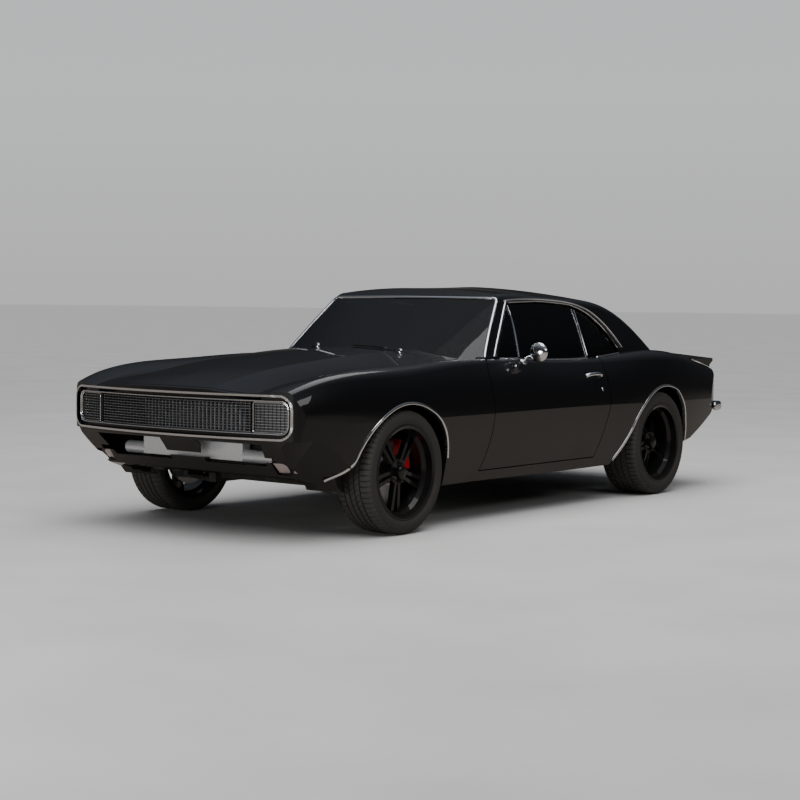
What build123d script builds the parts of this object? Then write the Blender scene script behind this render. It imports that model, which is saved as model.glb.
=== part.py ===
from build123d import *
import math
import os

# Two-door hardtop coupe. X to the car's left, Y to its rear, Z up, ground at zero, millimetres.
# The origin lies under the middle of the body's box.

# Stance
body_length = 4694
half_length = body_length / 2
nose_y = -half_length
front_axle_y = -1417
rear_axle_y = 1329
moving_gap = 6
door_swing_x = 712
door_swing_rear_y = -475
door_swing_top_z = 930
pin_play = 0.05

# Lower body, one half section a row, from nose to tail
# Columns: station y, centre height, bulge edge x and z, valley x and z, shoulder x and z,
# shoulder radius, crease x and z, sill x and z
body_rows = [
    (-2400, 770, 300, 762, 590, 730, 722, 722, 45, 752, 600, 735, 300),
    (-2150, 844, 320, 832, 610, 798, 795, 814, 46, 838, 618, 797, 290),
    (-1800, 905, 335, 890, 630, 846, 830, 882, 70, 891, 617, 850, 250),
    (-1417, 945, 350, 928, 645, 872, 838, 900, 85, 917, 617, 864, 235),
    (-900, 977, 365, 961, 670, 906, 822, 916, 62, 912, 617, 852, 235),
    (-300, 972, 370, 958, 690, 912, 808, 910, 42, 903, 618, 848, 232),
    (400, 955, 370, 946, 690, 902, 806, 893, 40, 901, 619, 848, 229),
    (900, 955, 370, 950, 690, 915, 822, 915, 70, 911, 615, 856, 232),
    (1329, 968, 370, 962, 690, 935, 838, 943, 95, 922, 612, 872, 240),
    (1700, 958, 370, 950, 680, 915, 834, 912, 95, 914, 610, 866, 260),
    (2050, 920, 370, 910, 665, 872, 810, 840, 85, 884, 608, 836, 280),
    (2400, 862, 370, 852, 640, 816, 786, 770, 70, 838, 606, 800, 300),
]
hood_crown = 2
valley_hollow = 4
crown_rise = 9
side_rise = 16
sill_rise = 7
skin_t = 26
smallest_shoulder_r = 8

# Lower body in side view and in plan
# Columns: y, z
side_outline = [
    (-2500, 540), (-2262, 528), (-2105, 338), (-1960, 300), (-1900, 200), (1635, 200), (1650, 325),
    (1780, 349), (1960, 434), (2075, 496), (2205, 585), (2285, 690), (2320, 1100), (-2500, 1100),
]
widest_x = 950
nose_corner_x = 812
nose_corner_back = 124
nose_corner_r = 80
straight_side = 1900
tail_back = 55
tail_corner_x = 812
tail_corner_back = 50
tail_corner_r = 70

# Tuck under each front corner: a point on it, its outward direction, its round and its reach
tuck_point = (725, -2221, 475)
tuck_normal = (1.483, -1, -1.216)
tuck_r = 350
tuck_reach = 22
tuck_size = 700

# Wheel openings in side view, as arcs of start, middle and end (y, z), and their skirts
front_arch_arcs = [
    ((-1985, 300), (-1885, 350), (-1792, 466)),
    ((-1792, 466), (-1695, 582), (-1550, 670)),
    ((-1550, 670), (-1385, 698), (-1225, 656)),
    ((-1225, 656), (-1098, 548), (-1046, 389)),
]
rear_arch_arcs = [
    ((735, 222), (859, 319), (980, 461)),
    ((980, 461), (1066, 575), (1187, 663)),
    ((1187, 663), (1372, 711), (1530, 680)),
    ((1530, 680), (1608, 588), (1654, 470)),
    ((1654, 470), (1678, 390), (1684, 300)),
]
arch_foot_z = 100
arch_inner_x = 780

# Cabin above the belt, one half section a row
# Columns: station y, centre height, rail height, half width at the base
cabin_rows = [
    (-900, 1285, 1242, 818),
    (-300, 1334, 1276, 818),
    (300, 1345, 1283, 818),
    (700, 1340, 1270, 818),
    (1050, 1272, 1222, 811),
    (1350, 1138, 1062, 798),
    (1650, 940, 878, 751),
]
cabin_base_z = 800
cabin_foot_z = 740
tumblehome = 0.4
rail_r = 60
roof_rise = 12
cabin_side_rise = 5
roof_t = 30
glass_t = 6

# Windshield: its outer face is bowed in plan and leans back
screen_base_z = 950
screen_centre_y = -700
screen_rake = 1.303
screen_bow = 245
screen_bow_fall = 0.31
screen_bow_half = 800
screen_half_low = 780
screen_half_high = 619
screen_low_z = 860
screen_high_z = 1270
screen_rebate = 12
screen_flange = 26

# Doors
door_axis_x = 845
door_axis_y = -530
door_bottom_z = 296
door_top_z = 1000
door_inner_x = 735
# Columns: z, y
door_front_seam = [(284, -704), (440, -632), (600, -604), (740, -601), (1000, -560)]
door_rear_seam = [(284, 539), (448, 619), (640, 680), (1000, 692)]

# Hood and decklid
hood_skin = 12
hood_t = 30
lid_flange = 20
hood_rear_y = -860
hood_rear_back = 150
hood_front_back = 26
hood_front_fall = 62
hood_half_front = 590
hood_half_rear = 690
deck_front_y = 1640
deck_rear_back = 76
deck_rear_fall = 40
deck_half = 640

# Cabin and bays inside the body
floor_z = 255
floor_t = 20
firewall_y = -820
firewall_t = 25
engine_bay_half = 455
front_end_y = -2190
trunk_half = 560
trunk_front_y = 1350
trunk_rear_y = 2235
trunk_floor_z = 440
pan_front_y = 1952
cabin_rear_y = 1330
wheelhouse_inner = 487
wheelhouse_r = 394
rear_wheelhouse_inner = 595
rear_wheelhouse_r = 392

# Mouth, grille and lamp doors
valance_top_z = 512
mouth_half = 785
mouth_low_z = 548
mouth_high_z = 758
mouth_end_r = 62
surround_w = 11
surround_proud = 4
surround_t = 14
band_w = 26
band_depth = 42
band_t = 12
ring_w = 8
ring_t = 14
grille_depth = 38
grille_t = 16
bar_w = 6
bar_pitch = 26
rung_t = 3
rung_pitch = 30
lamp_door_x = 556
lamp_gap = 10
rib_pitch = 23
rib_groove = 12
nose_fall = 139
nose_fall_x = 900

# Tail, its lamps, spoiler and bumper
# Columns: y, z
tail_inner_line = [
    (1700, 430), (1930, 434), (2045, 496), (2175, 585), (trunk_rear_y, 665), (trunk_rear_y, 1100), (1700, 1100),
]
lamp_line = [(2150, 628), (2246, 628), (2296, 694), (2310, 752), (2150, 752)]
lamp_proud = 8
lamp_spans = [(255, 415), (425, 585)]
spoiler_x = 795
bumper_z = (518, 580)
bumper_t = 24
bumper_r = 85
bumper_side_x = 900
bumper_front_y = 2090
bumper_corner = (856, 2300)
bracket_z = (535, 562)
# Columns: x from, x to, y from
bumper_brackets = [(380, 460, 2140), (780, 840, 2140)]

# Valance
valance_side_z = 416
valance_side_x = 640
valance_rear_y = -1700
hose_pocket_rear_y = -2030
hose_pocket_z = 520
valance_floor_t = 20
signal_depth = 14
# Columns: x, z
valance_opening = [(125, 392), (555, 392), (620, 560), (125, 560)]
signal_pocket = [(590, 422), (698, 422), (704, 352), (600, 352)]

# Wheels and tyres
front_tyre_r = 335
rear_tyre_r = 340
front_width = 245
rear_width = 275
tyre_face_x = 904
bead_r = 243
flange_r = 256
tyre_sides = 56
front_hub_depth = 36
rear_hub_depth = 55
front_dish = 72
rear_dish = 122
hub_r = 66
hub_boss_r = 40
spoke_pairs = 5
spoke_phase = 38
spoke_w = 19
spoke_t = 32
spoke_foot_half = 14
spoke_tip_half = 27
barrel_t = 9
barrel_drop = 14

# Brakes, knuckles and axle pins
front_hub_x = 765
rear_hub_x = 705
pin_r = 20
rotor_x = 712
rotor_t = 26
rotor_r = 172
rotor_hat_r = 78
kingpin_x = 684
ball_low_z = 222
ball_high_z = 453
ball_r = 12
caliper_inner_r = 112
caliper_outer_r = 200
caliper_play = 5
caliper_angle = 62
caliper_half_angle = 28
drum_r = 140
drum_t = 14

# Frame, axle and springs
rail_in = 375
arm_t = 24
arm_eye_r = 20
axle_r = 38
diff_r = 128
spring_x = 520
spring_w = 64
leaf_t = 15

# Powertrain, cooling, exhaust and tank
shaft_z = 335
shaft_r = 36
tunnel_r = 150
tunnel_t = 12
tunnel_z = 330
pipe_r = 28
pipe_bend = 90
tip_r = 32
tip_x = 430
tip_z = 335
seat_pan_z = 395


def plane_at(y):
    """Section plane at a station: its x is the car's x, its y is height."""
    return Plane(origin=(0, y, 0), x_dir=(1, 0, 0), z_dir=(0, -1, 0))


def level_plane(z):
    """Plan plane at a height."""
    return Plane(origin=(0, 0, z), x_dir=(1, 0, 0), z_dir=(0, 0, 1))


def side_plane(x):
    """Side view plane: its x is the car's y, its y is height."""
    return Plane(origin=(x, 0, 0), x_dir=(0, 1, 0), z_dir=(1, 0, 0))


def bow_arc(start, end, rise):
    """Middle point of an arc from start to end, `rise` to the left of the chord."""
    dx = end[0] - start[0]
    dz = end[1] - start[1]
    span = math.hypot(dx, dz)
    return ((start[0] + end[0]) / 2 - dz / span * rise, (start[1] + end[1]) / 2 + dx / span * rise)


def circle_of(a, b, c):
    """Centre and radius of the circle through three points."""
    d = 2 * (a[0] * (b[1] - c[1]) + b[0] * (c[1] - a[1]) + c[0] * (a[1] - b[1]))
    aa = a[0] ** 2 + a[1] ** 2
    bb = b[0] ** 2 + b[1] ** 2
    cc = c[0] ** 2 + c[1] ** 2
    x = (aa * (b[1] - c[1]) + bb * (c[1] - a[1]) + cc * (a[1] - b[1])) / d
    z = (aa * (c[0] - b[0]) + bb * (a[0] - c[0]) + cc * (b[0] - a[0])) / d
    return (x, z), math.hypot(a[0] - x, a[1] - z)


def towards(origin, point, length):
    """Point at a distance from the origin, on the way to another point."""
    size = math.dist(origin, point)
    return (
        origin[0] + (point[0] - origin[0]) / size * length,
        origin[1] + (point[1] - origin[1]) / size * length,
    )


def between(a, b):
    """Half way between two points."""
    return ((a[0] + b[0]) / 2, (a[1] + b[1]) / 2)


def rounded_corner(start, corner, end, rise_in, rise_out, radius):
    """Two bowed sides that meet at a corner, rounded: three arcs as start, middle and end points."""
    centre_in, r_in = circle_of(start, bow_arc(start, corner, rise_in), corner)
    centre_out, r_out = circle_of(corner, bow_arc(corner, end, rise_out), end)
    reach_in = r_in - radius
    reach_out = r_out - radius
    dx = centre_out[0] - centre_in[0]
    dz = centre_out[1] - centre_in[1]
    apart = math.hypot(dx, dz)
    along = (apart**2 + reach_in**2 - reach_out**2) / (2 * apart)
    off = math.sqrt(reach_in**2 - along**2)
    options = [
        (
            centre_in[0] + dx / apart * along - side * dz / apart * off,
            centre_in[1] + dz / apart * along + side * dx / apart * off,
        )
        for side in (1, -1)
    ]
    centre = min(options, key=lambda point: math.dist(point, corner))
    touch_in = towards(centre_in, centre, r_in)
    touch_out = towards(centre_out, centre, r_out)
    return [
        (start, towards(centre_in, between(start, touch_in), r_in), touch_in),
        (touch_in, towards(centre, between(touch_in, touch_out), radius), touch_out),
        (touch_out, towards(centre_out, between(touch_out, end), r_out), end),
    ]


def arcs_and_lines(plane, pieces):
    """Face bounded by arcs (three points) and lines (two points), in order."""
    edges = []
    for points in pieces:
        on_plane = [plane.from_local_coords(Vector(*point)) for point in points]
        if len(points) == 3:
            edges.append(Edge.make_three_point_arc(*on_plane))
        else:
            edges.append(Edge.make_line(*on_plane))
    return Face(Wire(edges))


def loop(points):
    """Closed run of straight lines through the points."""
    return [(a, b) for a, b in zip(points, points[1:] + points[:1])]


def side_prism(pieces, x_from, x_to):
    """Outline in (y, z), carried along X."""
    return extrude(arcs_and_lines(side_plane(x_from), pieces), x_to - x_from, dir=(1, 0, 0))


def plan_prism(pieces, z_from, z_to):
    """Outline in (x, y), carried up."""
    return extrude(arcs_and_lines(level_plane(z_from), pieces), z_to - z_from, dir=(0, 0, 1))


def front_prism(pieces, y_from, y_to):
    """Outline in (x, z), carried along Y."""
    return extrude(arcs_and_lines(plane_at(y_from), pieces), y_to - y_from, dir=(0, 1, 0))


def block(x0, x1, y0, y1, z0, z1):
    """Box between its low and high corners."""
    return Pos((x0 + x1) / 2, (y0 + y1) / 2, (z0 + z1) / 2) * Box(x1 - x0, y1 - y0, z1 - z0)


def cylinder_x(x0, x1, y, z, radius):
    """Round bar along X."""
    return Pos((x0 + x1) / 2, y, z) * (Rot(0, 90, 0) * Cylinder(radius, x1 - x0))


def cylinder_y(x, y0, y1, z, radius):
    """Round bar along Y."""
    return Pos(x, (y0 + y1) / 2, z) * (Rot(90, 0, 0) * Cylinder(radius, y1 - y0))


def cylinder_z(x, y, z0, z1, radius):
    """Upright round bar."""
    return Pos(x, y, (z0 + z1) / 2) * Cylinder(radius, z1 - z0)


def both(shape):
    """The shape with its mirror image over the centre plane, joined where they meet."""
    return shape + mirror(shape, about=Plane.YZ)


def body_section(row, inset):
    """Half section of the lower body, set in by a wall."""
    y, z_top, x_b, z_b, x_v, z_v, x_sh, z_sh, r_sh, x_cr, z_cr, x_lo, z_lo = row
    centre = (0, z_top - inset)
    bulge = (x_b, z_b - inset)
    valley = (x_v, z_v - inset)
    shoulder = (x_sh - inset, z_sh - inset)
    crease = (x_cr - inset, z_cr)
    sill = (x_lo - inset, z_lo + inset)
    foot = (0, z_lo + inset)
    radius = max(r_sh - inset, smallest_shoulder_r)
    return arcs_and_lines(
        plane_at(y),
        [
            (centre, bow_arc(centre, bulge, hood_crown), bulge),
            (bulge, bow_arc(bulge, valley, -valley_hollow), valley),
            *rounded_corner(valley, shoulder, crease, crown_rise, side_rise, radius),
            (crease, bow_arc(crease, sill, sill_rise), sill),
            (sill, foot),
            (foot, centre),
        ],
    )


def half_body(inset):
    """Left half of the lower body, closed at the centre plane."""
    return loft([body_section(row, inset) for row in body_rows])


def cabin_section(row, inset):
    """Half section of the cabin, set in by a wall."""
    y, z_c, z_k, x_base = row
    side_slope = 1.07
    rail = (x_base - tumblehome * (z_k - cabin_base_z) - inset, z_k - inset)
    base = (x_base - inset * side_slope, cabin_foot_z)
    centre = (0, z_c - inset)
    foot = (0, cabin_foot_z)
    radius = max(rail_r - inset, smallest_shoulder_r)
    return arcs_and_lines(
        plane_at(y),
        [
            *rounded_corner(centre, rail, base, roof_rise, cabin_side_rise, radius),
            (base, foot),
            (foot, centre),
        ],
    )


def half_cabin(inset):
    """Left half of the cabin's outer form, set in by a wall."""
    return loft([cabin_section(row, inset) for row in cabin_rows])


def side_x(y, z):
    """Half width of the body's side at a station and height."""
    index = max(i for i, row in enumerate(body_rows) if row[0] <= y)
    low, high = body_rows[index], body_rows[index + 1]
    share = (y - low[0]) / (high[0] - low[0])
    row = [a + (b - a) * share for a, b in zip(low, high)]
    x_sh, z_sh, _, x_cr, z_cr, x_lo, z_lo = row[6:]
    if z > z_cr:
        t = (z - z_cr) / (z_sh - z_cr)
        return x_cr + (x_sh - x_cr) * t + side_rise * 4 * t * (1 - t)
    t = (z - z_lo) / (z_cr - z_lo)
    return x_lo + (x_cr - x_lo) * t + sill_rise * 4 * t * (1 - t)


def body_plan(grow):
    """Outline of the lower body in plan, as big as asked for."""
    start_y = nose_y - grow
    end_y = half_length - tail_back + grow
    return plan_prism(
        [
            *rounded_corner(
                (0, start_y), (nose_corner_x + grow, start_y + nose_corner_back), (widest_x, -straight_side),
                -nose_corner_back / 4, -2, nose_corner_r + grow,
            ),
            ((widest_x, -straight_side), (widest_x, straight_side)),
            *rounded_corner(
                (widest_x, straight_side), (tail_corner_x + grow, end_y - tail_corner_back), (0, end_y),
                -2, -tail_corner_back / 4, tail_corner_r + grow,
            ),
            ((0, end_y), (0, start_y)),
        ],
        0,
        1500,
    )


def arch(arcs, x_from, x_to):
    """Wheel opening: its arcs, closed below."""
    front, rear = arcs[0][0], arcs[-1][2]
    skirt = [(rear, (rear[0], arch_foot_z)), ((rear[0], arch_foot_z), (front[0], arch_foot_z)),
             ((front[0], arch_foot_z), front)]
    return side_prism(arcs + skirt, x_from, x_to)


parts = {}

# Outer form of the lower body: a lofted half, trimmed by its side view and its plan, and tucked
# in with a large round under the front corners
outer = half_body(0) & side_prism(loop(side_outline), -1, 1000) & body_plan(0)
tuck_plane = Plane(origin=tuck_point, x_dir=(tuck_normal[2], 0, -tuck_normal[0]), z_dir=tuck_normal)
tuck = tuck_plane * (Pos(0, 0, tuck_size / 2 - tuck_reach) * Box(2 * tuck_size, 2 * tuck_size, tuck_size))
tuck -= tuck_plane * (Pos(0, 0, -tuck_r) * (Rot(0, 90, 0) * Cylinder(tuck_r, 2 * tuck_size)))
outer -= tuck & block(500, 1000, -2400, -1700, 0, mouth_low_z - surround_w - 2)
under_skin = half_body(skin_t)
under_hood_skin = half_body(hood_skin)
under_hood = half_body(hood_t)
under_aperture = half_body(hood_t + moving_gap)
over_body = half_body(-moving_gap)

# Wheel openings, with the wheelhouses behind the skin
well_zone = under_skin + block(-1, arch_inner_x + 1, -2400, 2400, 0, 330)
front_well = cylinder_x(wheelhouse_inner, widest_x, front_axle_y, front_tyre_r, wheelhouse_r) & well_zone
front_well += arch(front_arch_arcs, arch_inner_x, 1000)
front_well += block(400, wheelhouse_inner + 1, front_axle_y - 150, front_axle_y + 150, 150, 520)
rear_well = cylinder_x(rear_wheelhouse_inner, widest_x, rear_axle_y, rear_tyre_r, rear_wheelhouse_r) & well_zone
rear_arch = arch(rear_arch_arcs, arch_inner_x, 1000)
rear_well += rear_arch

# Open space of the cabin, left half
cabin_space = block(-1, door_inner_x, firewall_y, 900, 100, 1400)
cabin_space += block(-1, trunk_half, 899, cabin_rear_y, 100, 1400)


# Hood and decklid outlines in plan, each as big as asked for
def hood_plan(grow):
    """Hood outline in plan: bowed front and rear edges, straight sides."""
    front_y = nose_y + hood_front_back - grow
    rear_y = hood_rear_y + grow
    front_end = (hood_half_front + grow, front_y + hood_front_fall)
    rear_end = (hood_half_rear + grow, rear_y + hood_rear_back + grow / 2)
    return plan_prism(
        [
            ((0, front_y), bow_arc((0, front_y), front_end, -hood_front_fall / 4), front_end),
            (front_end, rear_end),
            (rear_end, bow_arc(rear_end, (0, rear_y), hood_rear_back / 4), (0, rear_y)),
            ((0, rear_y), (0, front_y)),
        ],
        500,
        1200,
    )


def deck_plan(grow):
    """Decklid outline in plan."""
    front_y = deck_front_y - grow
    rear_y = half_length - deck_rear_back + grow
    side = deck_half + grow
    rear_end = (side, rear_y - deck_rear_fall)
    return plan_prism(
        [
            ((0, front_y), (side, front_y)),
            ((side, front_y), rear_end),
            (rear_end, bow_arc(rear_end, (0, rear_y), -deck_rear_fall / 4), (0, rear_y)),
            ((0, rear_y), (0, front_y)),
        ],
        600,
        1200,
    )


def lid(plan):
    """Left half of a lid: a skin over its full outline, with a smaller inner layer."""
    return ((outer - under_hood_skin) & plan(0)) + ((under_hood_skin - under_hood) & plan(-lid_flange))


hood_hole = hood_plan(moving_gap) - under_aperture
deck_hole = deck_plan(moving_gap) - under_aperture
parts["hood"] = both(lid(hood_plan))
parts["decklid"] = both(lid(deck_plan))

# Door: a toe turned about the hinge axis in front, a long arc about it at the rear
hinge_axis = Axis((door_axis_x, door_axis_y, 0), (0, 0, 1))
hinge_plane = Plane(origin=(door_axis_x, door_axis_y, 0), x_dir=(1, 0, 0), z_dir=(0, -1, 0))
belt_z = 860


def seam_radius(z, y):
    """Distance of a seam point on the body's side from the hinge axis."""
    return math.hypot(side_x(y, min(z, belt_z)) - door_axis_x, y - door_axis_y)


def turned(radii):
    """Solid of revolution about the hinge axis through (radius, height) points."""
    bottom, top = radii[0][1], radii[-1][1]
    pieces = [((0, bottom), radii[0]), (radii[0], radii[1], radii[2])]
    pieces += list(zip(radii[2:], radii[3:]))
    pieces += [(radii[-1], (0, top)), ((0, top), (0, bottom))]
    return revolve(arcs_and_lines(hinge_plane, pieces), hinge_axis, 360)


def door_zone(grow):
    """Space of the left door, grown by a gap."""
    low = door_bottom_z - grow
    toe = turned([(seam_radius(z, y) + grow, z) for z, y in door_front_seam])
    rear = turned([(seam_radius(z, y) + grow, z) for z, y in door_rear_seam])
    slab = block(door_inner_x - grow, 1000, -900, 900, low, door_top_z)
    ahead = block(600, 1100, door_axis_y - grow, 900, low, door_top_z)
    return slab & rear & (ahead + toe)


door_hole = door_zone(moving_gap)
parts["door_left"] = outer & door_zone(0)

# Fenders, quarters and rockers
rocker_top = door_bottom_z - moving_gap
post_x = 805
fender = outer & block(engine_bay_half, 1000, front_end_y, firewall_y - firewall_t, 0, 1200)
fender += outer & block(post_x, 1000, firewall_y - firewall_t - 1, -500, 0, 1200)
fender = fender - front_well - hood_hole - door_hole
fender -= block(700, 1000, -715, -400, 0, rocker_top)
fender -= block(400, 1000, -2300, valance_rear_y, 0, valance_side_z)
fender -= block(engine_bay_half - 1, valance_side_x, front_end_y - 1, hose_pocket_rear_y, 0, hose_pocket_z)
parts["fender_left"] = fender
quarter = outer & block(trunk_half, 1000, 500, half_length, rocker_top, 1200)
quarter += outer & block(trunk_half, 1000, 1500, half_length, 100, 400)
quarter = quarter - door_hole - cabin_space - rear_well - deck_hole
quarter -= block(trunk_half - 10, rear_wheelhouse_inner + 5, rear_axle_y - 80, rear_axle_y + 80, 0, 480)
parts["quarter_left"] = quarter
rocker = outer & block(door_inner_x, 1000, -715, 900, 100, rocker_top)
parts["rocker_left"] = rocker - rear_well


# Nose: a panel round the wide mouth, with a bright surround and a band that leads in to the grille
def mouth_prism(grow):
    """The mouth's outline, grown by a width and carried back."""
    height = mouth_high_z - mouth_low_z + 2 * grow
    shape = RectangleRounded(2 * (mouth_half + grow), height, mouth_end_r + grow)
    face = Plane(origin=(0, -2500, (mouth_low_z + mouth_high_z) / 2), x_dir=(1, 0, 0), z_dir=(0, 1, 0))
    return extrude(face * shape, 500)


def nose_band(back0, back1):
    """Left half of a slab that follows the nose in plan, between two depths behind it."""
    ahead, behind = nose_y + back0, nose_y + back1
    bow = nose_fall / 4
    pieces = [
        ((0, ahead), bow_arc((0, ahead), (nose_fall_x, ahead + nose_fall), -bow), (nose_fall_x, ahead + nose_fall)),
        ((nose_fall_x, ahead + nose_fall), (nose_fall_x, behind + nose_fall)),
        ((nose_fall_x, behind + nose_fall), bow_arc((nose_fall_x, behind + nose_fall), (0, behind), bow), (0, behind)),
        ((0, behind), (0, ahead)),
    ]
    return plan_prism(pieces, mouth_low_z - 100, mouth_high_z + 100)


mouth = mouth_prism(0)
throat = mouth_prism(-band_w)
front_half_space = block(0, 1000, -2500, front_end_y, 0, 1200)
surround = (mouth_prism(surround_w) - mouth) & (body_plan(surround_proud) - body_plan(surround_proud - surround_t))
surround = surround & front_half_space
nose_half = (outer & front_half_space & block(0, 1000, -2500, front_end_y, valance_top_z, 1200)) - mouth
nose_half += (nose_band(band_depth, band_depth + band_t) & mouth_prism(1) & outer & front_half_space) - throat
parts["nose_panel"] = both(nose_half - surround - hood_hole)
parts["grille_surround"] = both(surround)

# Grille: upright bars over thin rungs in the middle, a ribbed lamp door at each end, each in its ring
throat_low_z = mouth_low_z + band_w
throat_high_z = mouth_high_z - band_w
throat_half = mouth_half - band_w
ring_zone = (mouth_prism(ring_w - band_w) - mouth_prism(-band_w - 2)) & nose_band(band_depth - ring_t, band_depth)
ring_zone -= block(lamp_door_x - lamp_gap, lamp_door_x, -2500, front_end_y, 0, 1200)
bars = [
    block(bar_pitch * (i + 0.5) - bar_w / 2, bar_pitch * (i + 0.5) + bar_w / 2, -2500, -2000, throat_low_z, throat_high_z)
    for i in range(round(lamp_door_x / bar_pitch))
]
bar_zone = bars[0] + bars[1:]
rung_count = round((throat_high_z - throat_low_z) / rung_pitch)
rungs = [
    block(-1, lamp_door_x, -2500, -2000, throat_low_z + rung_pitch * i, throat_low_z + rung_pitch * i + rung_t)
    for i in range(rung_count)
]
rung_zone = rungs[0] + rungs[1:]
grooves = [
    block(x, x + rib_groove, -2500, -2000, throat_low_z + rib_groove, throat_high_z - rib_groove)
    for x in range(lamp_door_x + rib_groove, throat_half - rib_pitch, rib_pitch)
]
groove_zone = grooves[0] + grooves[1:]
grille_half = bar_zone & nose_band(grille_depth, grille_depth + grille_t)
grille_half += rung_zone & nose_band(grille_depth + 4, grille_depth + grille_t)
lamp_door = nose_band(grille_depth, grille_depth + grille_t) & throat & block(lamp_door_x, 1000, -2500, -2000, 0, 1200)
lamp_door -= groove_zone & nose_band(grille_depth - 5, grille_depth + grille_t / 2)
grille_half += lamp_door
grille_half += ring_zone & front_half_space
parts["grille"] = both(grille_half & block(-1, 1000, -2500, front_end_y, 0, 1200))

# Valance: a sloping panel with two cooling openings, carried back under the fenders to the wheels
valance_half = outer & front_half_space & block(0, 1000, -2500, front_end_y, 100, valance_top_z)
valance_half += outer & block(0, 1000, front_end_y - 1, -2045, 100, valance_side_z)
valance_half += outer & block(valance_side_x, 1000, -2046, valance_rear_y, 100, valance_side_z)
valance_half = valance_half - front_well
valance_floor_z = 338 + valance_floor_t
valance_hollow = [(-2225, 600), (-2225, 528), (-2085, valance_floor_z), (-1900, valance_floor_z), (-1900, 600)]
valance_half -= side_prism(loop(valance_hollow), -1, valance_side_x)
valance_half -= front_prism(loop(valance_opening), -2500, -2000)
signal_zone = front_prism(loop(signal_pocket), -2500, -2000)
valance_half -= signal_zone & side_prism(
    loop([(-2400, 560), (-2225 + signal_depth - 25, 528), (-2085 + signal_depth - 25, valance_floor_z),
          (-2085 + signal_depth - 25, 300), (-2400, 300)]), 500, 800
)
parts["front_valance"] = both(valance_half)


# Cabin shell: roof with its pillars, screens and side glass
def screen_wedge(inset):
    """Everything behind the windshield's outer face, moved back by an inset."""

    def level(z):
        y_c = screen_centre_y + (z - screen_base_z) * screen_rake + inset
        half = 900
        fall = (screen_bow - (z - screen_base_z) * screen_bow_fall) * (half / screen_bow_half) ** 2
        corner = (half, y_c + fall)
        return arcs_and_lines(
            level_plane(z),
            [
                ((0, y_c), bow_arc((0, y_c), corner, -fall / 4), corner),
                (corner, (half, 2600)),
                ((half, 2600), (0, 2600)),
                ((0, 2600), (0, y_c)),
            ],
        )

    return loft([level(700), level(1400)], ruled=True)


def side_window(shrink):
    """Side window opening in side view, made smaller by a margin; its foot stays."""
    front_low, front_high = (-397 + shrink, 900), (-106 + shrink, 1244 - shrink)
    rail_end, rear_end = (600, 1232 - shrink), (1030 - shrink, 962 - shrink)
    front_foot, rear_foot = (front_low[0], 800), (rear_end[0], 800)
    return side_prism(
        [
            (front_low, front_high),
            (front_high, (250, 1253 - shrink), rail_end),
            (rail_end, (835 - shrink / 2, 1149 - shrink), rear_end),
            (rear_end, rear_foot),
            (rear_foot, front_foot),
            (front_foot, front_low),
        ],
        500,
        1000,
    )


def screen_rectangle(z, half):
    """Level rectangle that reaches ahead of the windshield."""
    return level_plane(z) * Pos(0, -500) * Rectangle(2 * half, 1400)


cabin_outer = half_cabin(0) & screen_wedge(0)
cabin_inner = half_cabin(roof_t) & screen_wedge(roof_t)

def screen_opening(shrink):
    """Opening of the windshield, made smaller by a margin."""
    top_z = screen_high_z - shrink
    low = screen_rectangle(screen_low_z, screen_half_low - shrink)
    return loft([low, screen_rectangle(top_z, screen_half_high - shrink)], ruled=True)


screen_hole = screen_opening(0)
screen_recess = (screen_hole - screen_wedge(screen_rebate)) + screen_opening(screen_flange)
rear_glass_front = 1035
rear_glass_rear = 1612
rear_glass_corner_front = (500, 1075)
rear_glass_corner_rear = (565, 1590)
rear_glass_pieces = [
    ((0, rear_glass_front), bow_arc((0, rear_glass_front), rear_glass_corner_front, -8), rear_glass_corner_front),
    (rear_glass_corner_front, rear_glass_corner_rear),
    (rear_glass_corner_rear, bow_arc(rear_glass_corner_rear, (0, rear_glass_rear), -6), (0, rear_glass_rear)),
    ((0, rear_glass_rear), (0, rear_glass_front)),
]
rear_glass_hole = plan_prism(rear_glass_pieces, 800, 1400)
over_door = over_body & block(door_inner_x - moving_gap, 1000, -700, 900, 0, 1200)
roof_half = cabin_outer - cabin_inner - outer - screen_recess - side_window(0) - rear_glass_hole - over_door
roof_half = roof_half & block(-1, 900, -800, deck_front_y, 880, 1400)
parts["roof"] = both(roof_half)
screen_back = 4
screen_half = ((cabin_outer & screen_wedge(screen_back)) - screen_wedge(screen_back + glass_t)) & screen_hole
door_swing = block(door_swing_x, 1000, -700, door_swing_rear_y, 800, door_swing_top_z)
parts["windshield"] = both(screen_half - outer - door_swing)
rear_glass_back = 3
rear_glass_half = (half_cabin(rear_glass_back) - half_cabin(rear_glass_back + glass_t)) & rear_glass_hole
parts["rear_glass"] = both(rear_glass_half - outer)
side_glass_back = 12
divider_y = 630
divider_gap = 10
glass_margin = 8
glass_layer = half_cabin(side_glass_back) - half_cabin(side_glass_back + glass_t) - outer
parts["door_glass_left"] = glass_layer & side_window(glass_margin) & block(
    0, 1000, -900, divider_y - divider_gap / 2, 0, 1400
)
quarter_glass = glass_layer & side_window(0) & block(0, 1000, divider_y + divider_gap / 2, 1300, 0, 1400)
parts["quarter_glass_left"] = quarter_glass - over_door

# Cowl with the firewall and the hinge posts
cowl_low_z = 862
gearbox_half = 138
cowl_half = (outer & block(0, post_x - 2, firewall_y - firewall_t, -470, cowl_low_z, 1200)) - hood_hole - door_hole
firewall_half = block(0, door_inner_x, firewall_y - firewall_t, firewall_y, floor_z, cowl_low_z + 8)
firewall_half += block(
    door_inner_x, post_x - 2, firewall_y - firewall_t, -640, rocker_top, cowl_low_z + 8
) - door_hole
gearbox_hole = block(-1, gearbox_half, -900, -800, 240, 480)
parts["firewall_cowl"] = both((cowl_half + firewall_half) - gearbox_hole)

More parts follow.
